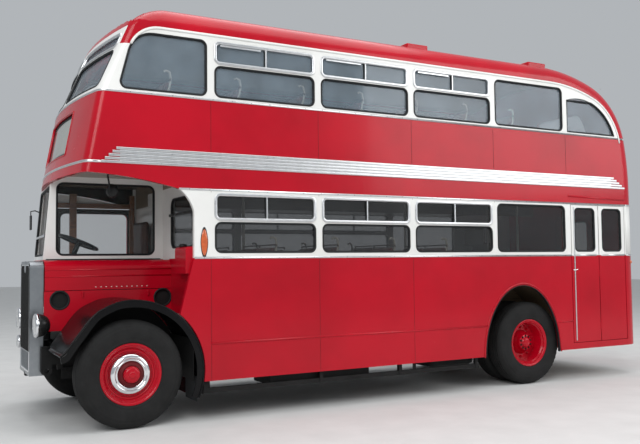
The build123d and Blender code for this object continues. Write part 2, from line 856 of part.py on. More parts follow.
def deck_between():
    """Upper floor with its sunk side gangway and the step up over the cab."""
    edge = -INNER + GANGWAY_W
    low = DECK_Z - GANGWAY_DROP
    section = Polyline(
        (INNER, DECK_Z),
        (INNER, DECK_Z - DECK_T),
        (edge + DECK_T, DECK_Z - DECK_T),
        (edge + DECK_T, low - DECK_T),
        (-INNER, low - DECK_T),
        (-INNER, low),
        (edge, low),
        (edge, DECK_Z),
        (INNER, DECK_Z),
        close=False,
    )
    rear_x = REAR + ROOF_DROP
    face = Plane.YZ * make_face(section)
    deck = Pos(rear_x, 0, 0) * extrude(face, amount=BULKHEAD_X - rear_x)
    fore = block(BULKHEAD_X, LENGTH, -INNER, INNER, CANOPY_Z, FORE_DECK_Z) & FRONT_IN
    riser = block(BULKHEAD_X - DECK_T, BULKHEAD_X, -INNER, INNER, DECK_Z, FORE_DECK_Z)
    riser = riser + block(BULKHEAD_X - DECK_T, BULKHEAD_X, -INNER, edge + DECK_T, low, DECK_Z)
    stair_x = rear_x + STAIR_WELL
    stair = block(rear_x - 10, stair_x, -INNER - 10, edge + 1, low - 2 * DECK_T, DECK_Z + 10)
    return deck + fore + riser - stair


def floor_and_platform():
    """Saloon floor, wheel boxes, platform and its riser."""
    front = BULKHEAD_X
    step = DOOR_FRONT + 20
    floor = block(step, front, -INNER, INNER, FLOOR_Z - FLOOR_T, FLOOR_Z)
    boxes = []
    for side in (1, -1):
        oval = Plane.XZ * Pos(BOX_X, SKIRT_Z) * Ellipse(BOX_A + BOX_T, BOX_B + BOX_T)
        solid = extrude(oval, amount=INNER - BOX_IN_Y)
        solid = Pos(0, side * INNER if side > 0 else -BOX_IN_Y, 0) * solid
        solid = solid & block(2 * REAR, LENGTH, -INNER, INNER, SKIRT_Z, HEIGHT)
        hollow = Plane.XZ * Pos(BOX_X, SKIRT_Z) * Ellipse(BOX_A, BOX_B)
        y_far = INNER + 1 if side > 0 else -BOX_IN_Y - BOX_T
        hollow = Pos(0, y_far, 0) * extrude(hollow, amount=INNER - BOX_IN_Y - BOX_T + 1)
        boxes.append((solid, hollow))
    for solid, hollow in boxes:
        floor = floor + solid
    open_sides = block(2 * REAR, LENGTH, -BOX_IN_Y - BOX_T, BOX_IN_Y + BOX_T, 0, FLOOR_Z - FLOOR_T)
    floor = floor - open_sides
    rear_fill = extrude(
        place_section(filled_section(WALL), (REAR, PLATFORM_Z - FLOOR_T), 90), amount=FLOOR_T
    )
    slab = block(REAR + ROOF_DROP, step, -INNER, INNER, PLATFORM_Z - FLOOR_T, PLATFORM_Z)
    riser = block(step, step + 30, -INNER, INNER, PLATFORM_Z - FLOOR_T, FLOOR_Z - FLOOR_T)
    body = floor + slab + rear_fill + riser
    for solid, hollow in boxes:
        body = body - hollow
    return body - wing_cylinder()


def staircase():
    """Stairs from the platform to the sunk gangway."""
    steps = 7
    foot_x = REAR + 330
    rise = (DECK_Z - GANGWAY_DROP - PLATFORM_Z) / (steps + 1)
    going = 150
    y0 = -INNER + 30
    y1 = -INNER + 480
    treads = None
    for i in range(steps):
        x = foot_x + i * going
        z = PLATFORM_Z + (i + 1) * rise
        tread = block(x, x + going + 30, y0, y1, z - 25, z)
        riser = block(x, x + 15, y0, y1, z - rise, z)
        treads = tread + riser if treads is None else treads + tread + riser
    return treads


def saloon_bulkhead():
    """Front wall of the lower saloon with its nearside window."""
    x1 = BULKHEAD_X
    x0 = x1 - BULKHEAD_T
    low = DECK_Z - GANGWAY_DROP - DECK_T
    wall = block(x0, x1, -INNER, INNER, FLOOR_Z, low)
    wall = wall + block(x0, x1, -INNER + GANGWAY_W + DECK_T, INNER, low, DECK_Z - DECK_T)
    return wall - bulkhead_window() - wing_cylinder()


def bulkhead_window():
    """Opening of the nearside window beside the bonnet."""
    return rounded_hole_x(310, 1040, 1690, LOWER_HEAD_Z, BULKHEAD_X - 2 * BULKHEAD_T, BULKHEAD_X + 10)


def cab_plan(rake):
    """Outline of the cab on plan, shifted back by rake at the front."""
    back = BULKHEAD_X
    near = AXLE_F + CAB_FRONT_X - rake
    far = AXLE_F + CAB_FRONT_FAR_X - rake
    outline = Polygon(
        (back, CAB_NEAR_Y), (near, CAB_NEAR_Y), (far, -HALF), (back, -HALF), align=None
    )
    corner = outline.vertices().sort_by(Axis.X)[-2:].sort_by(Axis.Y)[0]
    return fillet(corner, CAB_CORNER)


def cab_solid(inset):
    """Glazed part of the cab as a raked block."""
    low = cab_plan(0)
    high = cab_plan(CAB_RAKE)
    if inset:
        low = offset(low, -inset, kind=Kind.INTERSECTION)
        high = offset(high, -inset, kind=Kind.INTERSECTION)
    return loft([Pos(0, 0, WAIST_Z) * low, Pos(0, 0, CANOPY_Z) * high])


def cab_window_frame():
    """White frame of the cab above the waist."""
    frame = cab_solid(0) - cab_solid(CAB_T)
    back = BULKHEAD_X
    frame = frame - block(back - 10, back + 60, -HALF + 60, CAB_NEAR_Y - 50, WAIST_Z, CANOPY_Z)
    for window in cab_windows():
        frame = frame - window
    frame = frame - cab_door_blank(DOOR_SEAM, HINGE_GAP)
    edge_gap = CANOPY_EDGE_Z - CANOPY_GAP
    frame = frame - ((head(-CANOPY_GAP, -CANOPY_GAP, rounded=False) - head(WALL + CANOPY_GAP)) & level(edge_gap, HEIGHT))
    beside = block(-LENGTH, LENGTH, -2 * HALF, CANOPY_GAP - INNER, CANT_Z - CANOPY_GAP, HEIGHT)
    frame = frame - (beside - canopy_cut(CANOPY_GAP))
    return frame + cab_door_hinge(CAB_DOOR_HINGES[1], moving=False)


def cab_windows():
    """Openings of the cab nearside window and the windscreen."""
    near = rounded_hole(
        BULKHEAD_X + CAB_PANE_REAR, AXLE_F + CAB_FRONT_X - CAB_PANE_FRONT, CAB_PANE_SILL_Z, CAB_PANE_HEAD_Z, 70
    )
    near = near & block(-LENGTH, LENGTH, -20, HALF, 0, HEIGHT)
    front = rounded_hole_x(
        -1010, CAB_NEAR_Y - 55, CAB_PANE_SILL_Z, CAB_PANE_HEAD_Z - 35, AXLE_F + 300, AXLE_F + 800, 60
    )
    return [near, front]


def cab_door_blank(gap=0, hinge_gap=0):
    """Cab door outline through the offside wall."""
    x0 = AXLE_F + CAB_DOOR_REAR - hinge_gap
    x1 = AXLE_F + CAB_DOOR_FRONT + gap
    blank = block(x0, x1, -HALF - 20, -HALF + CAB_T + 20, BONNET_FOOT_Z - gap, CAB_DOOR_HEAD_Z + gap)
    blank = blank - wing_cylinder(DOOR_WING_GAP - 2 * gap)
    return blank - door_heel(gap)


def door_heel(gap=0):
    """Space under the flat heel at the hinged end of the cab door."""
    x1 = AXLE_F + CAB_DOOR_REAR + DOOR_HEEL
    return block(-LENGTH, x1, -2 * HALF, 2 * HALF, 0, DOOR_HEEL_Z - gap)


def cab_lower_panel():
    """Red cab side and dash under the waist, with the driver's floor."""
    inside = offset(cab_plan(0), -CAB_T, kind=Kind.INTERSECTION)
    outer = extrude(cab_plan(0), amount=WAIST_Z - BONNET_FOOT_Z, dir=(0, 0, 1))
    inner = extrude(inside, amount=WAIST_Z - BONNET_FOOT_Z, dir=(0, 0, 1))
    shell = Pos(0, 0, BONNET_FOOT_Z) * (outer - inner)
    back = BULKHEAD_X
    floor = Pos(0, 0, CAB_FLOOR_Z - 30) * extrude(inside, amount=30, dir=(0, 0, 1))
    floor = floor - block(-LENGTH, LENGTH, -CASING_HALF, HALF, 0, HEIGHT)
    casing = block(back, LENGTH, -CASING_HALF, CAB_NEAR_Y - CAB_T, CASING_TOP_Z - 12, CASING_TOP_Z)
    casing = casing + block(back, LENGTH, -CASING_HALF - 12, -CASING_HALF, CAB_FLOOR_Z - 30, CASING_TOP_Z)
    casing = casing & (Pos(0, 0, BONNET_FOOT_Z) * inner)
    shell = shell - block(-LENGTH, LENGTH, -RAD_HALF + 10, HALF, 0, CASING_TOP_Z - 12)
    shell = shell - block(back - 10, back + 60, -HALF + 60, CAB_NEAR_Y - 50, 0, WAIST_Z)
    body = shell + floor + casing
    body = body - wing_cylinder() - cab_door_blank(DOOR_SEAM, HINGE_GAP)
    for x in LID_HINGES:
        body = body + hinge_half(lid_hinge(x), (0, -1, 0), (1, 0, 0), moving=False)
    body = body + cab_door_hinge(CAB_DOOR_HINGES[0], moving=False)
    return body


def lid_hinge(x):
    """Axis point of one bonnet hinge beside the cab."""
    return (AXLE_F + x, CAB_NEAR_Y + HINGE_GAP / 2, BONNET_TOP_Z)


def cab_door_hinge(z, moving):
    """Hinge half at the rear edge of the cab door."""
    origin = (AXLE_F + CAB_DOOR_REAR - HINGE_GAP / 2, -HALF, z)
    host = (1, 0, 0) if moving else (-1, 0, 0)
    return hinge_half(origin, host, (0, 0, 1), moving, flip=not moving)


def cab_door_window():
    """Opening of the cab door window."""
    x0 = AXLE_F + CAB_DOOR_REAR + 70
    x1 = AXLE_F + CAB_DOOR_FRONT - 70
    return rounded_hole(x0, x1, WAIST_Z + 30, CAB_DOOR_HEAD_Z - 60, 60)


def cab_door():
    """Driver's door over the offside wing."""
    x0 = AXLE_F + CAB_DOOR_REAR
    x1 = AXLE_F + CAB_DOOR_FRONT
    door = block(x0, x1, -HALF, -HALF + CAB_T, BONNET_FOOT_Z, CAB_DOOR_HEAD_Z)
    door = door - wing_cylinder(DOOR_WING_GAP) - door_heel() - cab_door_window()
    for z in CAB_DOOR_HINGES:
        door = door + cab_door_hinge(z, moving=True)
    return door


def bonnet_curve(inset):
    """Bonnet top and side on a cross-section."""
    y = BONNET_HALF - inset
    z = BONNET_TOP_Z - inset
    r = BONNET_ROUND - inset
    k = r * (1 - math.sqrt(0.5))
    return [
        Line((CAB_NEAR_Y + HINGE_GAP, z), (y - r, z)),
        ThreePointArc((y - r, z), (y - k, z - k), (y, z - r)),
        Line((y, z - r), (y, BONNET_SPLIT_Z)),
    ]


def bonnet_lid():
    """Bonnet top with the upper part of its side, hinged along the cab."""
    ends = [
        Line((CAB_NEAR_Y + HINGE_GAP, BONNET_TOP_Z), (CAB_NEAR_Y + HINGE_GAP, BONNET_TOP_Z - BONNET_T)),
        Line((BONNET_HALF, BONNET_SPLIT_Z), (BONNET_HALF - BONNET_T, BONNET_SPLIT_Z)),
    ]
    face = Plane.YZ * make_face(bonnet_curve(0) + bonnet_curve(BONNET_T) + ends)
    back = BULKHEAD_X + SEAM
    front = AXLE_F + RAD_BACK_X - SEAM
    lid = Pos(back, 0, 0) * extrude(face, amount=front - back)
    for x in LID_HINGES:
        lid = lid + hinge_half(lid_hinge(x), (0, 1, 0), (1, 0, 0), moving=True, flip=True)
    return lid


def bonnet_valance():
    """Fixed bonnet side with its two round holes."""
    back = BULKHEAD_X
    front = AXLE_F + RAD_BACK_X
    plate = block(back, front, BONNET_HALF - BONNET_T, BONNET_HALF, BONNET_FOOT_Z, BONNET_SPLIT_Z - SEAM)
    for x in (HOLE_X, -HOLE_X):
        plate = plate - rod(AXLE_F + x, HOLE_Z, BONNET_HALF - 50, BONNET_HALF + 50, HOLE_R)
    return plate


def radiator_shell():
    """Polished radiator surround."""
    outline = Rectangle(2 * RAD_HALF, RAD_TOP_Z - RAD_FOOT_Z)
    top = outline.vertices().sort_by(Axis.Y)[-2:]
    outline = fillet(top, RAD_ROUND)
    inner = Rectangle(2 * (RAD_HALF - RAD_RIM), RAD_TOP_Z - RAD_FOOT_Z - 2 * RAD_RIM)
    top = inner.vertices().sort_by(Axis.Y)[-2:]
    inner = fillet(top, RAD_ROUND - 20)
    frame = outline - inner
    face = Plane.YZ * Pos(0, (RAD_TOP_Z + RAD_FOOT_Z) / 2) * frame
    return Pos(AXLE_F + RAD_BACK_X, 0, 0) * extrude(face, amount=RAD_DEPTH)


def radiator_core():
    """Core with upright fins behind the surround."""
    half = RAD_HALF - RAD_RIM
    x0 = AXLE_F + RAD_BACK_X
    z0 = RAD_FOOT_Z + RAD_RIM
    z1 = RAD_TOP_Z - RAD_RIM
    core = block(x0 + 10, x0 + 60, -half, half, z0, z1)
    corner = core.edges().filter_by(Axis.X).sort_by(Axis.Z)[-2:]
    core = fillet(corner, RAD_ROUND - 20)
    count = 15
    pitch = 2 * half / count
    for i in range(count):
        y = -half + (i + 0.5) * pitch
        core = core + block(x0 + 60, x0 + 85, y - 6, y + 6, z0 + RAD_MESH_H, z1 - 40)
    return core


def wing_line(depth):
    """Curve over the wheel and down to the toe, set in by depth; rear arc first."""

    def on_arc(angle):
        a = math.radians(angle)
        return ((WING_R - depth) * math.cos(a), (WING_R - depth) * math.sin(a))

    arc = ThreePointArc(on_arc(WING_END), on_arc((WING_END + WING_TOP) / 2), on_arc(WING_TOP))
    start = math.radians(WING_TOP)
    toe = math.radians(WING_TOE_SLOPE)
    ends = [(math.sin(start), -math.cos(start)), (math.cos(toe), math.sin(toe))]
    full = (WING_R * math.cos(start), WING_R * math.sin(start))
    outer = Spline(full, *WING_SWEEP, tangents=ends)
    points = []
    for i in range(len(WING_SWEEP) + 1):
        at, along = outer @ (i / len(WING_SWEEP)), outer % (i / len(WING_SWEEP))
        points.append((at.X + depth * along.Y, at.Y - depth * along.X))
    return [arc, Spline(*points, tangents=ends)]


def wing_strip(depth):
    """Strip of the side view between the wing's outer line and a line set in by depth."""
    outer, inner = wing_line(0), wing_line(depth)
    edges = outer + inner + [Line(outer[0] @ 0, inner[0] @ 0), Line(outer[1] @ 1, inner[1] @ 1)]
    return Plane(origin=(AXLE_F, 0, TYRE_R), x_dir=(1, 0, 0), z_dir=(0, -1, 0)) * make_face(edges)


def wing(side):
    """Front wing over one wheel, swept down to its toe, with a turned-down outer edge."""
    solid = Pos(0, WING_OUT_Y, 0) * extrude(wing_strip(WING_T), amount=WING_OUT_Y - WING_IN_Y)
    solid = solid + Pos(0, WING_OUT_Y, 0) * extrude(wing_strip(WING_LIP), amount=WING_T)
    rim = solid.edges().filter_by(lambda e: abs(e.center().Y - WING_OUT_Y) < 0.1)
    rim = rim.filter_by(lambda e: e.length > 2 * WING_LIP).sort_by(SortBy.LENGTH)
    solid = fillet([rim[-1], rim[-3]], WING_ROUND)
    solid = solid - block(FIRST_PILLAR, LENGTH, 0, RAIL_Y + RAIL_W, 0, RAIL_TOP_Z)
    if side < 0:
        solid = mirror(solid, Plane.XZ)
    return solid


def front_wings():
    """Both front wings."""
    return both_sides(wing)


def headlamps():
    """Two headlamps on arms from the radiator, and a fog lamp on the offside rail."""
    lamps = []
    for side, z, r in ((1, HEADLAMP_Z, HEADLAMP_R), (-1, HEADLAMP_Z, HEADLAMP_R), (-1, FOG_Z, FOG_R)):
        x, y = AXLE_F + LAMP_X, side * LAMP_Y
        bowl = Pos(x, y, z) * Rot(0, 90, 0) * Cone(r * 0.45, r, LAMP_L)
        glass = Pos(x + (LAMP_L + LAMP_RIM) / 2, y, z) * Rot(0, 90, 0) * Cylinder(r, LAMP_RIM)
        seat = RAD_HALF if z > RAIL_TOP_Z else RAIL_Y + RAIL_W
        arm = block(x - 25, x + 15, y, side * seat, z - LAMP_ARM / 2, z + LAMP_ARM / 2)
        lamps.append(bowl + glass + arm)
    return Compound(children=lamps)


def mirrors():
    """Round mirror hung from the canopy and a tall one at the offside corner of the cab."""
    x, y, z = MIRROR_AT
    disc = Pos(AXLE_F + x, y, z) * Rot(0, 90, 0) * Cylinder(MIRROR_R, MIRROR_T)
    hanger = Pos(AXLE_F + x, y, (z + CANOPY_Z) / 2) * Cylinder(MIRROR_ARM_R, CANOPY_Z - z)
    x, y, z = SIDE_MIRROR_AT
    thick, _, tall = SIDE_MIRROR
    half = SIDE_MIRROR_ARM / 2
    front = AXLE_F + x + thick / 2
    top = z + tall / 2 + SIDE_MIRROR_ARM
    glass = Pos(AXLE_F + x, y, z) * Box(*SIDE_MIRROR)
    arm = block(AXLE_F, front, y - half, y + half, top, top + SIDE_MIRROR_ARM) - cab_solid(0)
    post = block(front - thick, front, y - half, y + half, z, top)
    return Compound(children=[disc + hanger, glass + arm + post])


def tyre(y):
    """Tyre revolved about its axle, centred at y."""
    w = TYRE_W / 2
    points = [
        (w - 35, RIM_R - 5),
        (w - 8, RIM_R + 25),
        (w, RIM_R + 110),
        (w - 12, TYRE_R - 50),
        (w - 45, TYRE_R - 8),
        (0, TYRE_R),
    ]
    outline = points + [(-a, r) for a, r in reversed(points[:-1])]
    face = make_face(Polyline(*outline, close=True))
    return turn_wheel(face, y)


def turn_wheel(face, y, x=AXLE_F):
    """Revolve a (width, radius) face about the wheel axis."""
    placed = Plane(origin=(x, y, TYRE_R), x_dir=(0, 1, 0), z_dir=(1, 0, 0)) * face
    return revolve(placed, Axis((x, y, TYRE_R), (0, 1, 0)))


def rim_profile(dish, hub, bore, face_in):
    """Rim, dished disc and hub of one wheel; sizes outward from the wheel centre plane."""
    w = TYRE_W / 2 - 35
    return [
        (-w, RIM_R - 5),
        (w, RIM_R - 5),
        (w, RIM_R - 30),
        (w - 14, RIM_R - 30),
        (w - 30, RIM_R - 45),
        (dish + 14, RIM_R - 60),
        (dish + 14, 150),
        (hub, 90),
        (hub, bore),
        (face_in, bore),
        (face_in, 110),
        (dish, 150),
        (dish, RIM_R - 75),
        (-w + 16, RIM_R - 60),
        (-w, RIM_R - 30),
    ]


def front_wheel():
    """Front wheel disc with hub on the nearside."""
    profile = rim_profile(dish=40, hub=112, bore=SPINDLE_R + RUNNING, face_in=-60)
    return turn_wheel(make_face(Polyline(*profile, close=True)), FRONT_TRACK_Y)


def rear_wheels():
    """Twin rear wheels on one hub, nearside."""
    inner_y = REAR_OUTER_Y - TWIN_PITCH
    outer = rim_profile(dish=-70, hub=20, bore=HALFSHAFT_R + RUNNING, face_in=-TWIN_PITCH / 2)
    outer_solid = turn_wheel(make_face(Polyline(*outer, close=True)), REAR_OUTER_Y, AXLE_R)
    drum = [
        (-60, HALFSHAFT_R + RUNNING),
        (TWIN_PITCH / 2, HALFSHAFT_R + RUNNING),
        (TWIN_PITCH / 2, 110),
        (70, 150),
        (70, RIM_R - 60),
        (TYRE_W / 2 - 51, RIM_R - 45),
        (TYRE_W / 2 - 35, RIM_R - 30),
        (TYRE_W / 2 - 35, RIM_R - 5),
        (-TYRE_W / 2 + 35, RIM_R - 5),
        (-TYRE_W / 2 + 35, RIM_R - 30),
        (-TYRE_W / 2 + 51, RIM_R - 60),
        (56, RIM_R - 75),
        (56, 160),
        (-60, 130),
    ]
    inner_solid = turn_wheel(make_face(Polyline(*drum, close=True)), inner_y, AXLE_R)
    return outer_solid + inner_solid


def knuckle():
    """Nearside steering knuckle with its kingpin and spindle."""
    z = TYRE_R
    x = AXLE_F
    pin = Pos(x, KINGPIN_Y, z) * Cylinder(KINGPIN_R, 180)
    lug_top = Pos(x, KINGPIN_Y, z + 72) * Cylinder(40, 36)
    lug_low = Pos(x, KINGPIN_Y, z - 72) * Cylinder(40, 36)
    web = block(x - 40, x + 40, KINGPIN_Y + 48, KINGPIN_Y + 75, z - 90, z + 90)
    tie_top = block(x - 40, x + 40, KINGPIN_Y, KINGPIN_Y + 75, z + 54, z + 90)
    tie_low = block(x - 40, x + 40, KINGPIN_Y, KINGPIN_Y + 75, z - 90, z - 54)
    spindle = rod(x, z, KINGPIN_Y + 60, FRONT_TRACK_Y + 100, SPINDLE_R)
    flange = rod(x, z, KINGPIN_Y + 74, KINGPIN_Y + 110, 60)
    return pin + lug_top + lug_low + web + tie_top + tie_low + spindle + flange


def front_axle():
    """Drop beam, its kingpin eyes and the two leaf springs."""
    z = TYRE_R
    x = AXLE_F
    beam = block(x - 35, x + 35, -KINGPIN_Y + 150, KINGPIN_Y - 150, z - 110, z - 30)
    body = beam
    for side in (1, -1):
        riser = block(x - 35, x + 35, side * (KINGPIN_Y - 190), side * (KINGPIN_Y - 20), z - 50, z + 50)
        eye = Pos(x, side * KINGPIN_Y, z) * Cylinder(38, 106)
        bore = Pos(x, side * KINGPIN_Y, z) * Cylinder(KINGPIN_R + RUNNING, 300)
        spring = leaf_spring(x, side, z - 30, FRONT_SPRING_L)
        body = body + riser + eye + spring - bore
    return body


def leaf_spring(x, side, seat_z, span):
    """Flat stack of leaves with hangers up to the chassis rail."""
    y0 = side * RAIL_Y
    y1 = side * (RAIL_Y + RAIL_W)
    stack = None
    for i, share in enumerate((1.0, 0.82, 0.64, 0.46)):
        z = seat_z + 52 - i * 13
        leaf = block(x - span * share / 2, x + span * share / 2, y0, y1, z - 13, z)
        stack = leaf if stack is None else stack + leaf
    for end in (-1, 1):
        ex = x + end * (span / 2 - 25)
        stack = stack + block(ex - 25, ex + 25, y0, y1, seat_z + 39, RAIL_FOOT_Z)
    return stack


def rear_axle():
    """Banjo casing, fixed hub tubes and leaf springs."""
    z = TYRE_R
    inner = REAR_OUTER_Y - TWIN_PITCH - 62
    tube = rod(AXLE_R, z, -inner, inner, 52)
    banjo = Pos(AXLE_R, 0, z) * Sphere(170)
    banjo = banjo & block(AXLE_R - 170, AXLE_R + 170, -110, 110, z - 200, RAIL_FOOT_Z + 100)
    ends = rod(AXLE_R, z, -REAR_OUTER_Y - 15, REAR_OUTER_Y + 15, HALFSHAFT_R)
    body = tube + banjo + ends
    for side in (1, -1):
        body = body + leaf_spring(AXLE_R, side, z - 52 - 52, REAR_SPRING_L)
    return body


def chassis_rails():
    """Two channel rails with dumb irons down to the towing eyes."""
    eye_x = AXLE_F + EYE_X
    front = eye_x + EYE_OUT_R
    back = DOOR_FRONT + 50

    def one(side):
        y0 = side * RAIL_Y
        y1 = side * (RAIL_Y + RAIL_W)
        rail = block(back, front, y0, y1, RAIL_FOOT_Z, RAIL_TOP_Z)
        rail = rail + block(front - 2 * EYE_OUT_R, front, y0, y1, EYE_Z, RAIL_FOOT_Z)
        web = y1 - side * RAIL_T
        hollow = block(back, front - DUMB_IRON, y0, web, RAIL_FOOT_Z + RAIL_T, RAIL_TOP_Z - RAIL_T)
        bore = rod(eye_x, EYE_Z, side * (RAIL_Y - 5), side * (RAIL_Y + RAIL_W + 5), EYE_BORE_R)
        return rail - hollow + rod(eye_x, EYE_Z, y0, y1, EYE_OUT_R) - bore

    return both_sides(one)


def cross_members():
    """Cross members between the rails."""
    reach = RAIL_Y + RAIL_W - RAIL_T
    members = []
    for x in CROSS_MEMBERS_X:
        z0 = RAIL_FOOT_Z + CROSS_INSET
        members.append(block(AXLE_F + x - 40, AXLE_F + x + 40, -reach, reach, z0, RAIL_TOP_Z - CROSS_INSET))
    return Compound(children=members)


def engine():
    """Engine as one plain block on four feet on the rails."""
    body = block(AXLE_F - ENGINE_BACK, AXLE_F + ENGINE_FRONT, -ENGINE_HALF, ENGINE_HALF, RAIL_TOP_Z + 20, ENGINE_TOP_Z)
    for x in ENGINE_FEET:
        reach = RAIL_Y + RAIL_W / 2
        body = body + block(AXLE_F + x - 50, AXLE_F + x + 50, -reach, reach, RAIL_TOP_Z, RAIL_TOP_Z + 60)
    return body


def driveline():
    """Gearbox and propeller shaft to the rear axle."""
    box = block(AXLE_F - 1500, AXLE_F - 1000, -160, 160, 470, FLOOR_Z - FLOOR_T - 5)
    shaft = Pos((AXLE_F - 1500 + AXLE_R + 170.3) / 2, 0, TYRE_R) * Rot(0, 90, 0) * Cylinder(
        45, AXLE_F - 1500 - AXLE_R - 170.3
    )
    return box + shaft


def fuel_tank():
    """Fuel tank under the offside of the saloon."""
    tank = block(AXLE_F - 3300, AXLE_F - 2100, -1000, -RAIL_Y - RAIL_W, 400, FLOOR_Z - FLOOR_T)
    return fillet(tank.edges().filter_by(Axis.X), 40)


def steering_wheel():
    """Steering wheel on its column."""
    ring = Torus(STEER_R, STEER_RIM_R)
    hub = Cylinder(45, 40)
    spokes = Box(2 * STEER_R, 26, 12) + Box(26, 2 * STEER_R, 12)
    column = Pos(0, 0, -320) * Cylinder(28, 640)
    wheel = ring + hub + spokes + column
    x, y, z = STEER_AT
    placed = Pos(AXLE_F + x, y, z) * Rot(0, -STEER_TILT, 0) * wheel
    return placed - block(-LENGTH, LENGTH, -HALF, HALF, 0, CAB_FLOOR_Z)


def driver_seat():
    """Driver's seat on its box."""
    x = AXLE_F - 330
    base = block(x - 180, x + 180, -780, -340, CAB_FLOOR_Z, CAB_FLOOR_Z + 190)
    cushion = block(x - 210, x + 210, -800, -320, CAB_FLOOR_Z + 190, CAB_FLOOR_Z + 300)
    back = block(x - 250, x - 170, -800, -320, CAB_FLOOR_Z + 300, CAB_FLOOR_Z + 780)
    return base + cushion + back


def bench(x, y0, y1, z):
    """Soft squab and cushion of one bench, facing forward, as two solids."""
    base = z + SEAT_H - CUSHION_T
    cushion = Polyline(
        (x + BACK_T + SOFT_GAP, base),
        (x + SEAT_DEPTH, base),
        (x + SEAT_DEPTH, base + CUSHION_T),
        (x + BACK_T + SOFT_GAP, base + CUSHION_T - SEAT_FALL),
        close=True,
    )
    squab = Polyline(
        (x, base),
        (x + BACK_T, base),
        (x + BACK_T, base + CUSHION_T),
        (x - SEAT_LEAN + BACK_T, z + SEAT_BACK_H),
        (x - SEAT_LEAN, z + SEAT_BACK_H),
        close=True,
    )
    width = abs(y1 - y0)
    return [Pos(0, max(y0, y1), 0) * extrude(Plane.XZ * make_face(part), amount=width) for part in (cushion, squab)]


def seat_rows():
    """Rows of both decks: x, y0, y1, floor z."""
    lower = []
    for i in range(LOWER_ROWS):
        x = AXLE_F - 1450 - i * SEAT_PITCH
        for side in (1, -1):
            lower.append((x, side * (INNER - 10), side * (INNER - SEAT_W + 10), FLOOR_Z))
    upper = []
    for i in range(UPPER_ROWS):
        x = AXLE_F - 330 - i * SEAT_PITCH
        upper.append((x, INNER - 10, -INNER + GANGWAY_W + 60, DECK_Z))
    return lower, upper


LOWER_SEATS, UPPER_SEATS = seat_rows()


def seats(rows):
    """Soft benches of one deck."""
    return Compound(children=[part for row in rows for part in bench(*row)])


def seat_frames():
    """Legs under every bench."""
    legs = []
    for x, y0, y1, z in LOWER_SEATS + UPPER_SEATS:
        foot = FORE_DECK_Z if z == DECK_Z and x > BULKHEAD_X else z
        for y in (min(y0, y1) + LEG_INSET, max(y0, y1) - LEG_INSET - LEG_W):
            top = z + SEAT_H - CUSHION_T - SOFT_GAP
            legs.append(block(x + LEG_INSET, x + SEAT_DEPTH - LEG_INSET, y, y + LEG_W, foot, top))
    return Compound(children=legs)


def door_window(x0, x1):
    """Tall window of a door leaf."""
    return rounded_hole(x0 + 60, x1 - 60, LOWER_SILL_Z, LOWER_HEAD_Z - 20, 60)


LEAF_W = (DOOR_FRONT - DOOR_REAR - 3 * HINGE_GAP) / 2


def door_leaf(x1):
    """One folding leaf whose front edge is at x1."""
    x0 = x1 - LEAF_W
    leaf = block(x0, x1, HALF - LEAF_T, HALF, DOOR_FOOT_Z, DOOR_HEAD_Z)
    return leaf - door_window(x0, x1)


LEAF_JOINT_X = DOOR_FRONT - HINGE_GAP - LEAF_W - HINGE_GAP / 2


def leaf_glass(x1):
    """Glass of one folding leaf."""
    return door_window(x1 - LEAF_W, x1) & glass_sheet(HALF - LEAF_T / 2)


def front_leaf():
    """Leaf hinged to the door post at its inner face."""
    leaf = door_leaf(DOOR_FRONT - HINGE_GAP)
    for z in POST_HINGES:
        origin = (DOOR_FRONT - HINGE_GAP / 2, HALF - LEAF_T, z)
        leaf = leaf + hinge_half(origin, (-1, 0, 0), (0, 0, 1), moving=True, flip=True)
    for z in LEAF_HINGES:
        leaf = leaf + hinge_half((LEAF_JOINT_X, HALF, z), (1, 0, 0), (0, 0, 1), moving=False, flip=True)
    return leaf


def rear_leaf():
    """Leaf hinged to the front leaf at its outer face."""
    leaf = door_leaf(DOOR_FRONT - 2 * HINGE_GAP - LEAF_W)
    for z in LEAF_HINGES:
        leaf = leaf + hinge_half((LEAF_JOINT_X, HALF, z), (-1, 0, 0), (0, 0, 1), moving=True)
    return leaf


def fluted_bands():
    """Five half-round strips along each side between the decks, stepped at their ends."""
    strips = []
    for side in (1, -1):
        backing = block(
            REAR + ROOF_DROP + 5 * FLUTE_STEP_REAR,
            AXLE_F + FLUTE_FRONT_X - 5 * FLUTE_STEP,
            side * HALF,
            side * (HALF + FLUTE_BACK),
            FLUTE_Z,
            FLUTE_Z + 4 * FLUTE_PITCH + FLUTE_H,
        )
        body = backing
        for i in range(5):
            z = FLUTE_Z + i * FLUTE_PITCH
            front = AXLE_F + FLUTE_FRONT_X - i * FLUTE_STEP
            rear = REAR + ROOF_DROP + i * FLUTE_STEP_REAR
            strip = block(rear, front, side * HALF, side * (HALF + FLUTE_PROUD), z, z + FLUTE_H)
            outer = strip.faces().sort_by(Axis.Y)[-1 if side > 0 else 0]
            body = body + fillet(outer.edges().filter_by(Axis.X), FLUTE_PROUD - 1)
        strips.append(body)
    return Compound(children=strips)


def pane_plate(pane, side):
    """Glass pane in the side plane."""
    mid = side * (HALF - WALL / 2)
    return rounded_hole(*pane) & block(2 * REAR, LENGTH, mid - GLASS / 2, mid + GLASS / 2, 0, HEIGHT)


def glass_sheet(y):
    """Sheet of glass in an upright plane along the bus."""
    return block(2 * REAR, LENGTH, y - GLASS / 2, y + GLASS / 2, 0, HEIGHT)


def side_glazing():
    """All fixed glass of both sides."""
    panes = []
    for side in (1, -1):
        panes += [pane_plate(pane, side) for pane in pane_boxes("lower") + pane_boxes("upper")]
        sheet = glass_sheet(side * (HALF - WALL / 2))
        panes.append(front_quarter_pane() & sheet)
        panes.append(rear_quarter_pane() & sheet)
    return Compound(children=panes)


def rear_sheet():
    """Sheet of glass following the rear wall and dome."""
    return wrap(skin_section(WALL / 2 - GLASS / 2, GLASS))


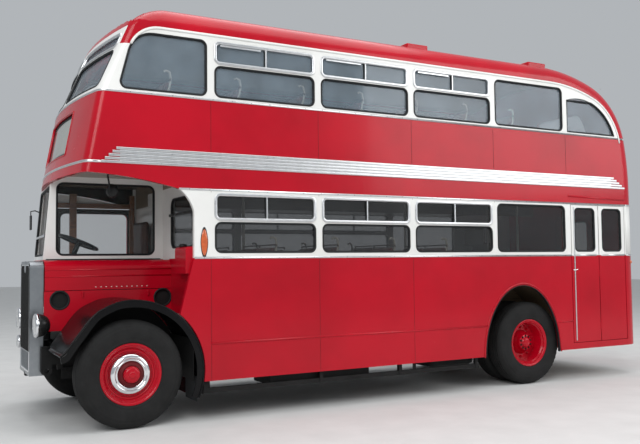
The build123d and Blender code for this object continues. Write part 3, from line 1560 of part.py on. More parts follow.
def end_glazing():
    """Glass of the upper front, bulkhead and upper rear windows."""
    outer = head(WALL / 2 - GLASS / 2, WALL / 2)
    inner = head(WALL / 2 + GLASS / 2, WALL / 2)
    panes = [(pane & outer) - inner for pane in front_panes()]
    mid = BULKHEAD_X - BULKHEAD_T / 2
    panes.append(bulkhead_window() & block(mid - GLASS / 2, mid + GLASS / 2, -HALF, HALF, 0, HEIGHT))
    panes.append(rear_sheet() & rear_window())
    return Compound(children=panes)


def cab_glazing():
    """Windscreen and nearside window of the cab."""
    sheet = cab_solid(CAB_T / 2 - GLASS / 2) - cab_solid(CAB_T / 2 + GLASS / 2)
    return Compound(children=[sheet & window for window in cab_windows()])


def life_rails():
    """Guard rails under the skirts between the axles."""
    rails = []
    x0 = ARCH_X + ARCH_A + GUARD_ARCH_GAP
    x1 = AXLE_F - GUARD_START
    half = GUARD_BRACKET / 2
    for side in (1, -1):
        y = side * (INNER - GUARD_INSET)
        body = block(x0, x1, y - GUARD_T / 2, y + GUARD_T / 2, GUARD_Z - GUARD_H / 2, GUARD_Z + GUARD_H / 2)
        for back in GUARD_BRACKETS_X:
            x = AXLE_F - back
            body = body + block(x - half, x + half, y - half, y + half, GUARD_Z - GUARD_H / 2, FLOOR_Z - FLOOR_T)
        rails.append(body)
    return Compound(children=rails)


def mirror_y(shape):
    """Offside copy of a nearside piece."""
    return mirror(shape, Plane.XZ)


def tyre_pair(side):
    """Twin rear tyres."""
    both = []
    for y in (REAR_OUTER_Y, REAR_OUTER_Y - TWIN_PITCH):
        t = Pos(AXLE_R - AXLE_F, 0, 0) * tyre(y)
        both.append(t if side > 0 else mirror_y(t))
    return Compound(children=both)


save("chassis_rails", chassis_rails())
save("cross_members", cross_members())
save("front_axle", front_axle())
save("rear_axle", rear_axle())
save("engine", engine())
save("driveline", driveline())
save("fuel_tank", fuel_tank())
save("life_rails", life_rails())
save("floor_and_platform", floor_and_platform())
save("deck_between", deck_between())
save("staircase", staircase())
save("saloon_bulkhead", saloon_bulkhead())
save("lower_side_panels", lower_side_panels())
save("lower_window_pillars", lower_window_pillars())
save("lower_rear_panel", lower_rear_panel())
save("upper_side_panels", upper_side_panels())
save("upper_window_pillars", upper_window_pillars())
save("upper_rear_panel", upper_rear_panel())
save("upper_front_panel", upper_front_panel())
save("upper_front_frame", upper_front_frame())
save("roof", roof())
save("fluted_bands", fluted_bands())
save("side_glazing", side_glazing())
save("end_glazing", end_glazing())
save("cab_glazing", cab_glazing())
save("cab_door_glass", cab_door_window() & glass_sheet(-HALF + CAB_T / 2))
save("emergency_door_glass", rear_sheet() & exit_window())
save("platform_door_front_glass", leaf_glass(DOOR_FRONT - HINGE_GAP))
save("platform_door_rear_glass", leaf_glass(DOOR_FRONT - 2 * HINGE_GAP - LEAF_W))
save("cab_window_frame", cab_window_frame())
save("cab_lower_panel", cab_lower_panel())
save("cab_door", cab_door())
save("bonnet_lid", bonnet_lid())
save("bonnet_valance", bonnet_valance())
save("radiator_shell", radiator_shell())
save("radiator_core", radiator_core())
save("front_wings", front_wings())
save("headlamps", headlamps())
save("mirrors", mirrors())
save("steering_wheel", steering_wheel())
save("driver_seat", driver_seat())
save("lower_seats", seats(LOWER_SEATS))
save("upper_seats", seats(UPPER_SEATS))
save("seat_frames", seat_frames())
save("platform_door_front_leaf", front_leaf())
save("platform_door_rear_leaf", rear_leaf())
save("emergency_door", emergency_door())
save("front_knuckle_nearside", knuckle())
save("front_knuckle_offside", mirror_y(knuckle()))
save("front_tyre_nearside", tyre(FRONT_TRACK_Y))
save("front_tyre_offside", mirror_y(tyre(FRONT_TRACK_Y)))
save("front_wheel_nearside", front_wheel())
save("front_wheel_offside", mirror_y(front_wheel()))
save("rear_tyres_nearside", tyre_pair(1))
save("rear_tyres_offside", tyre_pair(-1))
save("rear_wheels_nearside", rear_wheels())
save("rear_wheels_offside", mirror_y(rear_wheels()))
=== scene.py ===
import json
import math

import bmesh
import bpy
from mathutils import Matrix, Vector
from mathutils.bvhtree import BVHTree


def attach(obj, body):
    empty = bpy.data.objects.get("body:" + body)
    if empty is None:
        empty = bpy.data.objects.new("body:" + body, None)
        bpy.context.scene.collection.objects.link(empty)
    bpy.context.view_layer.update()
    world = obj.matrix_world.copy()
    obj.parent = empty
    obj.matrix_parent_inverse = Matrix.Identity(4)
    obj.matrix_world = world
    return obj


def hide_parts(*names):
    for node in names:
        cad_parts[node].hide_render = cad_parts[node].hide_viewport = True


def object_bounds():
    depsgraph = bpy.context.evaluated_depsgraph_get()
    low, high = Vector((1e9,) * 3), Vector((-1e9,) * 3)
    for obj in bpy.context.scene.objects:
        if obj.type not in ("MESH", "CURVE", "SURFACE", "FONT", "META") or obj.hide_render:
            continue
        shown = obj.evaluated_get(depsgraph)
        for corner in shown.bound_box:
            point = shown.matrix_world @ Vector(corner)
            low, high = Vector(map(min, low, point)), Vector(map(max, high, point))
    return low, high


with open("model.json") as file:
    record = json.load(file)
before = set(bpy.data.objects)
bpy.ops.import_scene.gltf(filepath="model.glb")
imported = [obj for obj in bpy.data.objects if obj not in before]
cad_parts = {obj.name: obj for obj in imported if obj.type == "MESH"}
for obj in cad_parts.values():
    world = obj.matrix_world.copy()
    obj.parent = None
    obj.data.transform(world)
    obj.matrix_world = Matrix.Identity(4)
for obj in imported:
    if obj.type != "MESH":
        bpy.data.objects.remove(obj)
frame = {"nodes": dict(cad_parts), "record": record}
CAD_BOX = [list(corner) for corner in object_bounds()]

# Sizes shared with the CAD model, in metres
HALF = 1.143
WALL = 0.045
AXLE_F = 3.050
AXLE_R = -1.903
REAR = -3.890
ROOF_DROP = 0.309
SKIRT_Z = 0.390
WAIST_Z = 1.580
CANT_Z = 2.245
UPPER_WAIST_Z = 3.137
GUTTER_Z = 3.781
TOP_Z = 4.090
FLOOR_Z = 0.775
DECK_Z = 2.380
FIRST_PILLAR = AXLE_F - 0.765
BAY = 1.200
PILLAR_W = 0.084
LAST_PILLAR = FIRST_PILLAR - 4 * BAY
LOWER_ROW = (1.629, 1.940, 2.208)
UPPER_ROW = (3.168, 3.492, 3.722)
VENT_RAIL = 0.024
CORNER = 0.065
VENT_CORNER = 0.055
TYRE_R = 0.504
FRONT_TRACK_Y = 0.980
REAR_OUTER_Y = 0.950
TWIN_PITCH = 0.290

# Front, dome and trim lines shared with the CAD model
DOME_TOP_R = 2.600
DOME_R = 1.0654
DOME_X = -2.7774
DOME_Z = 2.93205
ROOF_END = -2.2525
FRONT_FOOT_X = 0.608
FRONT_WAIST_X = 0.442
FRONT_HEAD_X = 0.167
FRONT_BOW_SAG = 0.130
FRONT_BOW_R = (HALF**2 + FRONT_BOW_SAG**2) / (2 * FRONT_BOW_SAG)
FRONT_CORNER_R = 0.090
DOME_HORN = ((0.026, 3.598), (-0.052, 3.705), (-0.250, 3.781))
QUARTER_FOOT_X = 0.145
QUARTER_HEAD_X = 0.003
QUARTER_CORNER = 0.250
QUARTER_GUTTER_GAP = 0.070
BULKHEAD_X = 2.430
PILLAR_FRONT = 2.458
DOOR_FRONT = -2.570
DOOR_REAR = -3.566
SKIRT_LINE_Z = 0.75
SKIRT_ARCH_FRONT = -1.19
SKIRT_ARCH_REAR = -2.28
BAND_LINE_Z = 2.470
FRONT_PANE_HALF = 1.060
FRONT_PANE_GAP = 0.090
FRONT_PANE_SILL_Z = 3.185
FRONT_PANE_RAIL_Z = 3.560
FRONT_PANE_HEAD_Z = 3.715
BLIND_HALF = 0.560
BLIND_Z0 = 2.590
BLIND_Z1 = 3.020
BLIND_DEPTH = 0.032
CANOPY_Z = 2.440
CAB_NEAR_Y = 0.030
CAB_T = 0.036
CAB_FRONT_X = 0.628
CAB_FRONT_FAR_X = 0.550
CAB_RAKE = 0.075
CAB_PANE_REAR = 0.095
CAB_PANE_FRONT = 0.128
CAB_PANE_SILL_Z = 1.625
CAB_PANE_HEAD_Z = 2.375
SCREEN_TURN = math.atan2(CAB_FRONT_X - CAB_FRONT_FAR_X, CAB_NEAR_Y + HALF)
BONNET_HALF = 0.360
RAD_BACK_X = 0.665
RAD_DEPTH = 0.125
RAD_HALF = 0.330
RAD_RIM = 0.042
RAD_FOOT_Z = 0.455
RAD_TOP_Z = 1.565
RAD_MESH_H = 0.190
HOLE_X = 0.517
HOLE_Z = 1.180
HOLE_R = 0.085
LOUVRES = 11

# Doors, rear wall and arches shared with the CAD model
REAR_CORNER_R = 0.250
REAR_CROWN_R = 7.037
LEAF_SPANS = (("front", -3.062, -2.582), ("rear", -3.554, -3.074))
LEAF_HEAD_Z = 2.225
EXIT_HALF = 0.330
EXIT_Z0 = 0.640
EXIT_Z1 = 2.160
ARCH_X = -1.735
ARCH_A = 0.600
ARCH_B = 0.830

# Both sides of the bus, as the sign of Y, their names, and the way up
SIDES = (1, -1)
HANDS = ((1, "nearside"), (-1, "offside"))
UP = Vector((0, 0, 1))

# How far thin paintwork sits in its panel and stands proud of it, less where the folded leaves meet
PAINT_SUNK = 0.001
PAINT_PROUD = 0.0018
LEAF_PAINT_PROUD = 0.0004

# A distance clear of the bus on every side
OUTSIDE = 6.0

# Corners closer than this are made one
SAME_SPOT = 1e-5

# Camera fitted to the photograph
CAMERA_AT = (4.9338, 8.24335, 1.51601)
CAMERA_YAW = -2.06859
CAMERA_PITCH = 0.05343
CAMERA_ROLL = -0.01108
CAMERA_FOCAL_PX = 769.05
PHOTO_W = 640
SENSOR = 36.0


# Materials


class Finish:
    """One procedural material being put together."""

    def __init__(self, name):
        self.material = bpy.data.materials.new(name)
        self.material.use_nodes = True
        self.tree = self.material.node_tree
        self.shader = self.tree.nodes["Principled BSDF"]
        self.coords = self.add("ShaderNodeTexCoord")
        self.place = self.coords.outputs["Object"]

    def add(self, kind, **settings):
        """One node with its settings, and its inputs given by name."""
        node = self.tree.nodes.new(kind)
        for key, value in settings.items():
            if hasattr(node, key):
                setattr(node, key, value)
            else:
                node.inputs[key.replace("_", " ")].default_value = value
        return node

    def wire(self, out, into):
        """Link one socket to another."""
        self.tree.links.new(out, into)

    def set(self, **values):
        """Numbers and colours on the shader's own sockets."""
        for key, value in values.items():
            self.shader.inputs[key.replace("_", " ")].default_value = value

    def noise(self, scale, detail=4.0, rough=0.55, stretch=None):
        """Noise on Object coordinates, stretched along an axis if asked."""
        place = self.place
        if stretch:
            mapping = self.add("ShaderNodeMapping")
            mapping.inputs["Scale"].default_value = stretch
            self.wire(place, mapping.inputs["Vector"])
            place = mapping.outputs["Vector"]
        node = self.add("ShaderNodeTexNoise", Scale=scale, Detail=detail, Roughness=rough)
        self.wire(place, node.inputs["Vector"])
        return node.outputs["Fac"]

    def ramp(self, value, low, high, at=(0.3, 0.7)):
        """Colour between two, by a value."""
        node = self.add("ShaderNodeValToRGB")
        node.color_ramp.elements[0].position = at[0]
        node.color_ramp.elements[1].position = at[1]
        node.color_ramp.elements[0].color = (*low, 1)
        node.color_ramp.elements[1].color = (*high, 1)
        self.wire(value, node.inputs["Fac"])
        return node.outputs["Color"]

    def spread(self, value, low, high):
        """A number between two, by a value."""
        node = self.add("ShaderNodeMapRange", To_Min=low, To_Max=high)
        self.wire(value, node.inputs["Value"])
        return node.outputs["Result"]

    def part(self, vector, axis):
        """One coordinate of a vector."""
        node = self.add("ShaderNodeSeparateXYZ")
        self.wire(vector, node.inputs["Vector"])
        return node.outputs[axis]

    def test(self, value, how, limit):
        """One where a value is past a limit, nought elsewhere."""
        node = self.add("ShaderNodeMath", operation=how)
        self.wire(value, node.inputs[0])
        node.inputs[1].default_value = limit
        return node.outputs["Value"]

    def mix(self, share, first, second):
        """Two colours mixed by a value."""
        node = self.add("ShaderNodeMix", data_type="RGBA")
        self.wire(share, node.inputs["Factor"])
        return self.blend(node, first, second)

    def times(self, first, second):
        """Two colours multiplied."""
        node = self.add("ShaderNodeMix", data_type="RGBA", blend_type="MULTIPLY")
        node.inputs["Factor"].default_value = 1.0
        return self.blend(node, first, second)

    def blend(self, node, first, second):
        """Feed a mixing node its two colours, each a tuple or a socket."""
        for socket, value in zip([s for s in node.inputs if s.type == "RGBA"], (first, second)):
            if isinstance(value, tuple):
                socket.default_value = (*value, 1)
            else:
                self.wire(value, socket)
        return [s for s in node.outputs if s.type == "RGBA"][0]

    def colour(self, socket):
        """Send a colour to the base colour."""
        self.wire(socket, self.shader.inputs["Base Color"])

    def roughness(self, socket):
        """Send a number to the roughness."""
        self.wire(socket, self.shader.inputs["Roughness"])

    def bump(self, height, strength, distance):
        """Add one bump on top of what is there."""
        node = self.add("ShaderNodeBump", Strength=strength, Distance=distance)
        self.wire(height, node.inputs["Height"])
        normal = self.shader.inputs["Normal"]
        if normal.is_linked:
            self.wire(normal.links[0].from_socket, node.inputs["Normal"])
        self.wire(node.outputs["Normal"], normal)


def paint(name, colour, worn, wave=0.35, coat=0.18, spec=0.28, above=None, inside=None):
    """Coach enamel over hand-beaten panels; another colour above the waist or on inward faces if given."""
    f = Finish(name)
    tone = f.noise(1.3, detail=3)
    shade = f.ramp(tone, worn, colour, at=(0.25, 0.62))
    if above:
        shade = f.mix(f.test(f.part(f.place, "Z"), "GREATER_THAN", WAIST_Z), shade, above)
    if inside:
        # The normal times the place is well below nought in Y where a side panel faces the saloon
        facing = f.add("ShaderNodeVectorMath", operation="MULTIPLY")
        f.wire(f.coords.outputs["Normal"], facing.inputs[0])
        f.wire(f.place, facing.inputs[1])
        shade = f.mix(f.test(f.part(facing.outputs["Vector"], "Y"), "LESS_THAN", -0.4), shade, inside)
    f.colour(shade)
    film = f.noise(9.0, detail=6, rough=0.7)
    f.roughness(f.spread(film, 0.16, 0.32))
    f.set(Coat_Weight=coat, Coat_Roughness=0.08, Specular_IOR_Level=spec)
    f.bump(f.noise(3.2, detail=2), wave, 0.004)
    f.bump(f.noise(420.0, detail=1), 0.05, 0.0004)
    return f.material


def bright(name, colour, low, high, brushed=(1, 1, 1)):
    """Bright metal with fine brushing and a little dulling."""
    f = Finish(name)
    f.set(Metallic=1.0)
    dull = f.noise(14.0, detail=5, rough=0.7)
    f.colour(f.ramp(dull, tuple(c * 0.86 for c in colour), colour))
    f.roughness(f.spread(dull, low, high))
    f.bump(f.noise(260.0, detail=2, stretch=brushed), 0.06, 0.0002)
    return f.material


def rubber(name, colour, low=0.45, high=0.72, grain=160.0, depth=0.0006, spec=0.22):
    """Rubber or plastic with a fine grain and dusty patches."""
    f = Finish(name)
    dust = f.noise(6.0, detail=6, rough=0.75)
    f.colour(f.ramp(dust, colour, tuple(min(1, c * 1.7 + 0.006) for c in colour), at=(0.35, 0.8)))
    f.roughness(f.spread(dust, low, high))
    f.set(Specular_IOR_Level=spec)
    f.bump(f.noise(grain, detail=3), 0.25, depth)
    return f.material


def sheet_glass(f, film):
    """Shine, dirt and faint waves of drawn sheet glass."""
    f.set(Specular_IOR_Level=0.9, IOR=1.5)
    f.roughness(f.spread(film, 0.02, 0.07))
    f.bump(f.noise(2.2, detail=1), 0.12, 0.004)
    return f.material


def window_glass(name, colour, alpha):
    """Clear glass, lightly tinted, with a film of dirt."""
    f = Finish(name)
    f.set(Base_Color=(*colour, 1), Alpha=alpha)
    return sheet_glass(f, f.noise(4.0, detail=4))


def saloon_glass(name, low, high, alpha_low, alpha_high):
    """Window glass with a painted reflection: painted sky on the upper deck, a painted dark ground on the
    lower.
    """
    f = Finish(name)
    # Painted reflection: the glass colour runs by height from a painted dark ground low down to a painted sky
    # high up
    deck = f.add("ShaderNodeMapRange", From_Min=2.3, From_Max=3.2)
    f.wire(f.part(f.place, "Z"), deck.inputs["Value"])
    share = deck.outputs["Result"]
    film = f.noise(3.0, detail=4)
    cloud = f.ramp(film, (0.75, 0.75, 0.75), (1.15, 1.15, 1.15))
    f.colour(f.times(f.mix(share, low, high), cloud))
    f.wire(f.spread(share, alpha_low, alpha_high), f.shader.inputs["Alpha"])
    return sheet_glass(f, film)


def lens_glass(name, colour, glow=0.0):
    """Moulded lamp glass with upright flutes."""
    f = Finish(name)
    tone = f.noise(30.0, detail=2)
    f.colour(f.ramp(tone, tuple(c * 0.7 for c in colour), colour))
    f.set(Roughness=0.12, Coat_Weight=1.0, Coat_Roughness=0.03)
    if glow:
        f.set(Emission_Color=(*colour, 1), Emission_Strength=glow)
    wave = f.add("ShaderNodeTexWave", Scale=45.0, wave_type="BANDS", bands_direction="Y")
    f.wire(f.place, wave.inputs["Vector"])
    f.bump(wave.outputs["Fac"], 0.5, 0.001)
    return f.material


def timber(name, dark, light, along=(1, 14, 14)):
    """Varnished timber with long grain."""
    f = Finish(name)
    grain = f.noise(6.0, detail=8, rough=0.65, stretch=along)
    f.colour(f.ramp(grain, dark, light, at=(0.35, 0.65)))
    f.roughness(f.spread(grain, 0.28, 0.5))
    f.set(Coat_Weight=0.4, Coat_Roughness=0.15)
    f.bump(grain, 0.25, 0.0015)
    return f.material


def moquette(name, ground, figure):
    """Cut-pile seat cloth with a small woven check."""
    f = Finish(name)
    weave = f.add("ShaderNodeTexChecker", Scale=34.0)
    f.wire(f.place, weave.inputs["Vector"])
    worn = f.ramp(f.noise(26.0, detail=5, rough=0.7), (0.55, 0.55, 0.55), (1.1, 1.1, 1.1))
    f.colour(f.times(f.mix(weave.outputs["Fac"], ground, figure), worn))
    f.set(Roughness=0.95, Sheen_Weight=0.4, Sheen_Roughness=0.5)
    f.bump(f.noise(700.0, detail=2), 0.5, 0.0012)
    return f.material


def hide(name, dark, light):
    """Leather with grain and creases."""
    f = Finish(name)
    cells = f.add("ShaderNodeTexVoronoi", Scale=240.0)
    f.wire(f.place, cells.inputs["Vector"])
    tone = f.noise(7.0, detail=5)
    f.colour(f.ramp(tone, dark, light))
    f.roughness(f.spread(tone, 0.38, 0.6))
    f.bump(cells.outputs["Distance"], 0.35, 0.0008)
    f.bump(f.noise(24.0, detail=4), 0.3, 0.002)
    return f.material


COACH_RED = {"colour": (0.46, 0.0012, 0.013), "worn": (0.36, 0.0012, 0.010), "coat": 0.16, "spec": 0.22}
RED = paint("coach_red", **COACH_RED)
LINED = paint("lined_red", **COACH_RED, inside=(0.022, 0.015, 0.012))
TWO_TONE = paint("door_red", **COACH_RED, above=(0.62, 0.62, 0.60))
WHITE = paint("coach_white", (0.80, 0.80, 0.78), (0.72, 0.72, 0.69), wave=0.2)
BLACK = paint("wing_black", (0.003, 0.003, 0.004), (0.006, 0.006, 0.006), wave=0.2, coat=0.10, spec=0.12)
UNDER = rubber("underframe_black", (0.006, 0.006, 0.006), grain=60.0)
# Dark red of the panel joints, also used as painted shade deep in the front hub wells
SEAM_AND_WELL_SHADE = rubber("panel_seam_and_well_shade", (0.09, 0.004, 0.006))
ALLOY = bright("polished_alloy", (0.74, 0.75, 0.76), 0.22, 0.38, brushed=(1, 12, 12))
SHELL = bright("radiator_alloy", (0.34, 0.36, 0.38), 0.24, 0.36)
CHROME = bright("chrome_plate", (0.80, 0.81, 0.83), 0.05, 0.12)
GASKET = rubber("glazing_rubber", (0.010, 0.011, 0.012))
TYRE = rubber("tyre_rubber", (0.009, 0.009, 0.009), low=0.6, high=0.9, grain=90.0, depth=0.001)
# Saloon glass with a painted reflection, dark on the lower deck and sky-coloured on the upper
GLASS = saloon_glass("window_glass", (0.030, 0.032, 0.034), (0.24, 0.31, 0.37), 0.40, 0.34)
CLEAR = window_glass("cab_glass", (0.10, 0.13, 0.14), 0.10)
BLIND = window_glass("blind_glass", (0.42, 0.50, 0.46), 0.75)
LAMP = lens_glass("lamp_lens", (0.75, 0.76, 0.76), glow=0.05)
AMBER = lens_glass("amber_lens", (0.66, 0.12, 0.025))
RUBY = lens_glass("red_lens", (0.55, 0.01, 0.01))
CAB_WOOD = timber("cab_wood", (0.11, 0.042, 0.018), (0.26, 0.11, 0.045))
SLATS = timber("floor_slats", (0.10, 0.07, 0.045), (0.22, 0.16, 0.10), along=(1, 20, 20))
CEILING = paint("ceiling_cream", (0.62, 0.60, 0.52), (0.52, 0.50, 0.43), wave=0.1)
CLOTH = moquette("seat_moquette", (0.20, 0.015, 0.02), (0.10, 0.045, 0.03))
HIDE = hide("seat_hide", (0.045, 0.016, 0.010), (0.10, 0.04, 0.025))
CASTING = rubber("engine_grey", (0.09, 0.10, 0.095), low=0.4, high=0.6, grain=50.0)
HORN = rubber("black_horn", (0.008, 0.008, 0.008), low=0.18, high=0.35, grain=30.0)

# Finishes of each slot of the record. A CAD node takes the first finish of its slot.
FINISHES = {
    "chassis_black": (UNDER,),
    "engine_grey": (CASTING,),
    "body_red": (RED, SEAM_AND_WELL_SHADE),
    "body_white": (WHITE, CEILING),
    "wing_black": (BLACK,),
    "bright_metal": (ALLOY, CHROME, SHELL),
    "wheel_red": (RED,),
    "tyre": (TYRE,),
    "glass": (GLASS, BLIND, CLEAR, LAMP, AMBER, RUBY),
    "floor_wood": (SLATS, CAB_WOOD),
    "seat_cloth": (CLOTH,),
    "seat_leather": (HIDE,),
    "seat_metal": (CEILING,),
    "control_black": (HORN, GASKET),
}
OWN_FINISH = {
    "cab_glazing": CLEAR,
    "cab_door_glass": CLEAR,
    "radiator_shell": SHELL,
    "cab_door": LINED,
    "cab_lower_panel": LINED,
    "upper_side_panels": LINED,
    "lower_side_panels": LINED,
    "platform_door_front_leaf": TWO_TONE,
    "platform_door_rear_leaf": TWO_TONE,
}
for entry in frame["record"]["subparts"]:
    node = frame["nodes"][entry["node"]]
    node.data.materials.clear()
    node.data.materials.append(OWN_FINISH.get(entry["node"], FINISHES[entry["material_slot"]][0]))


# Making pieces


def fit_out(piece, body="bus"):
    """Ride a finished piece on its body."""
    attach(piece, body)
    return piece


def in_scene(name, data):
    """A new object of the scene from a mesh, a lamp or a camera."""
    thing = bpy.data.objects.new(name, data)
    bpy.context.collection.objects.link(thing)
    return thing


def raw_mesh(name, verts, edges=(), faces=()):
    """A mesh from its corners, edges and faces."""
    mesh = bpy.data.meshes.new(name)
    mesh.from_pydata(verts, edges, faces)
    return mesh


def shade_smooth(mesh):
    """Shade every face of a mesh smooth."""
    for face in mesh.polygons:
        face.use_smooth = True


def plain_piece(name, verts, faces, finish, body="bus", bevel=0.0, smooth=False):
    """A mesh piece from its corners and faces."""
    mesh = raw_mesh(name, verts, faces=faces)
    shell = bmesh.new()
    shell.from_mesh(mesh)
    bmesh.ops.remove_doubles(shell, verts=shell.verts, dist=SAME_SPOT)
    bmesh.ops.recalc_face_normals(shell, faces=shell.faces)
    shell.to_mesh(mesh)
    shell.free()
    mesh.materials.append(finish)
    piece = in_scene(name, mesh)
    if smooth:
        shade_smooth(mesh)
    if bevel:
        edge = piece.modifiers.new("edge", "BEVEL")
        edge.width = bevel
        edge.segments = 2
        edge.limit_method = "ANGLE"
        bake(piece)
    return fit_out(piece, body)


def bake(piece):
    """Turn a piece's modifiers into its plain mesh."""
    live = piece.evaluated_get(bpy.context.evaluated_depsgraph_get())
    mesh = bpy.data.meshes.new_from_object(live)
    piece.modifiers.clear()
    piece.data = mesh
    return piece


def side_span(side, x0, x1, inner, outer, z0, z1):
    """Span of a box on one side, from its inner and outer distance to the middle of the bus."""
    return (x0, x1, *sorted((side * inner, side * outer)), z0, z1)


def boxes(name, spans, finish, body="bus", bevel=0.002):
    """Bevelled bars given as x0, x1, y0, y1, z0, z1."""
    verts, faces = [], []
    quads = ((0, 1, 3, 2), (4, 6, 7, 5), (0, 4, 5, 1), (2, 3, 7, 6), (0, 2, 6, 4), (1, 5, 7, 3))
    for x0, x1, y0, y1, z0, z1 in spans:
        base = len(verts)
        verts += [(x, y, z) for x in (x0, x1) for y in (y0, y1) for z in (z0, z1)]
        faces += [tuple(base + i for i in quad) for quad in quads]
    return plain_piece(name, verts, faces, finish, body, bevel)


def new_tree(name, sizes, *kinds):
    """A Geometry Nodes tree with its named sizes and a finish, its two ends and its other nodes."""
    tree = bpy.data.node_groups.new(name, "GeometryNodeTree")
    for label, kind in (("Geometry", "Geometry"), *sizes, ("Finish", "Material")):
        tree.interface.new_socket(label, in_out="INPUT", socket_type="NodeSocket" + kind)
    tree.interface.new_socket("Geometry", in_out="OUTPUT", socket_type="NodeSocketGeometry")
    return tree, *(tree.nodes.new(kind) for kind in ("NodeGroupInput", "NodeGroupOutput", *kinds))


def chain(tree, *steps):
    """Link node outputs to inputs, given as (node, output, node, input)."""
    for source, out, target, into in steps:
        tree.links.new(source.outputs[out], target.inputs[into])


def finish_tree(tree, start, end, last, out):
    """Every tree ends in real geometry with its finish."""
    real = tree.nodes.new("GeometryNodeRealizeInstances")
    dress = tree.nodes.new("GeometryNodeSetMaterial")
    chain(
        tree,
        (last, out, real, "Geometry"),
        (real, "Geometry", dress, "Geometry"),
        (start, "Finish", dress, "Material"),
        (dress, "Geometry", end, "Geometry"),
    )


def bar_tree():
    """Round bar swept along every line of the piece."""
    tree, start, end, lines, ring, round_bar, smooth = new_tree(
        "bar_along_line",
        [("Radius", "Float"), ("Sides", "Int")],
        "GeometryNodeMeshToCurve",
        "GeometryNodeCurvePrimitiveCircle",
        "GeometryNodeCurveToMesh",
        "GeometryNodeSetShadeSmooth",
    )
    round_bar.inputs["Fill Caps"].default_value = True
    chain(
        tree,
        (start, "Geometry", lines, "Mesh"),
        (start, "Radius", ring, "Radius"),
        (start, "Sides", ring, "Resolution"),
        (lines, "Curve", round_bar, "Curve"),
        (ring, "Curve", round_bar, "Profile Curve"),
        (round_bar, "Mesh", smooth, "Geometry"),
    )
    finish_tree(tree, start, end, smooth, "Geometry")
    return tree


def stud_tree():
    """Domed studs on every point of the piece, standing on its normal."""
    tree, start, end, dome, shape, scale, spots, normal, turn = new_tree(
        "studs_on_points",
        [("Radius", "Float"), ("Proud", "Float"), ("Sides", "Int")],
        "GeometryNodeMeshUVSphere",
        "GeometryNodeTransform",
        "ShaderNodeCombineXYZ",
        "GeometryNodeInstanceOnPoints",
        "GeometryNodeInputNormal",
        "FunctionNodeAlignRotationToVector",
    )
    dome.inputs["Rings"].default_value = 6
    turn.axis = "Z"
    chain(
        tree,
        (start, "Sides", dome, "Segments"),
        (start, "Radius", scale, "X"),
        (start, "Radius", scale, "Y"),
        (start, "Proud", scale, "Z"),
        (dome, "Mesh", shape, "Geometry"),
        (scale, "Vector", shape, "Scale"),
        (start, "Geometry", spots, "Points"),
        (shape, "Geometry", spots, "Instance"),
        (normal, "Normal", turn, "Vector"),
        (turn, "Rotation", spots, "Rotation"),
    )
    finish_tree(tree, start, end, spots, "Instances")
    return tree


BAR_TREE = bar_tree()
STUD_TREE = stud_tree()


def grow(piece, tree, **given):
    """Run a tree on a piece with its named inputs, keep the result as a plain mesh."""
    live = piece.modifiers.new(tree.name, "NODES")
    live.node_group = tree
    for item in tree.interface.items_tree:
        if item.item_type == "SOCKET" and item.in_out == "INPUT" and item.name in given:
            live[item.identifier] = given[item.name]
    bake(piece)
    piece.data.materials.clear()
    piece.data.materials.append(given["Finish"])
    return piece


def bars(name, lines, radius, finish, body="bus", sides=8):
    """Round bars along lines of points."""
    verts, edges = [], []
    for line in lines:
        base = len(verts)
        verts += [tuple(p) for p in line]
        edges += [(base + i, base + i + 1) for i in range(len(line) - 1)]
    piece = in_scene(name, raw_mesh(name, verts, edges=edges))
    grow(piece, BAR_TREE, Finish=finish, Radius=radius, Sides=sides)
    return fit_out(piece, body)


def studs(name, spots, radius, proud, finish, sides=10):
    """Domed studs; each spot is a point and the way it faces, which a tiny triangle gives to the tree."""
    verts, faces = [], []
    tiny = 1e-4
    for point, facing in spots:
        p = Vector(point)
        n = Vector(facing).normalized()
        u = n.orthogonal().normalized() * tiny
        base = len(verts)
        verts += [tuple(p), tuple(p + u), tuple(p + n.cross(u))]
        faces.append((base, base + 1, base + 2))
    piece = in_scene(name, raw_mesh(name, verts, faces=faces))
    grow(piece, STUD_TREE, Finish=finish, Radius=radius, Proud=proud, Sides=sides)
    return fit_out(piece)


def arc(centre, radius, start, stop, steps):
    """Points of an arc as pairs, angles in degrees."""
    points = []
    for i in range(steps + 1):
        a = math.radians(start + (stop - start) * i / steps)
        points.append((centre[0] + radius * math.cos(a), centre[1] + radius * math.sin(a)))
    return points


def rounded_box(x0, x1, z0, z1, r=CORNER, steps=6):
    """Closed rounded outline as pairs."""
    line = arc((x1 - r, z1 - r), r, 0, 90, steps)
    line += arc((x0 + r, z1 - r), r, 90, 180, steps)
    line += arc((x0 + r, z0 + r), r, 180, 270, steps)
    line += arc((x1 - r, z0 + r), r, 270, 360, steps)
    return line


def skinned(shells, closed=True, capped=True):
    """Corners and faces over shells of rings; a shell closes on itself, or is open with its ends capped."""
    verts, faces = [], []
    for rings in shells:
        base, steps, count = len(verts), len(rings), len(rings[0])
        for ring in rings:
            verts += [tuple(point) for point in ring]
        for i in range(steps if closed else steps - 1):
            near, far = base + i * count, base + (i + 1) % steps * count
            for k in range(count):
                m = (k + 1) % count
                faces.append((near + k, near + m, far + m, far + k))
        if capped and not closed:
            faces.append(tuple(range(base, base + count)))
            faces.append(tuple(range(base + (steps - 1) * count, base + steps * count)))
    return verts, faces


def turned(name, profile, centre, finish, body="bus", steps=64, axis="Y"):
    """Closed profile of (along, radius) pairs turned about an axis through the centre."""
    rings = []
    for i in range(steps):
        a = 2 * math.pi * i / steps
        ring = []
        for along, r in profile:
            p, q = r * math.cos(a), r * math.sin(a)
            offset = {"Y": (p, along, q), "X": (along, p, q), "Z": (p, q, along)}[axis]
            ring.append([c + o for c, o in zip(centre, offset)])
        rings.append(ring)
    return plain_piece(name, *skinned([rings]), finish, body, smooth=True)

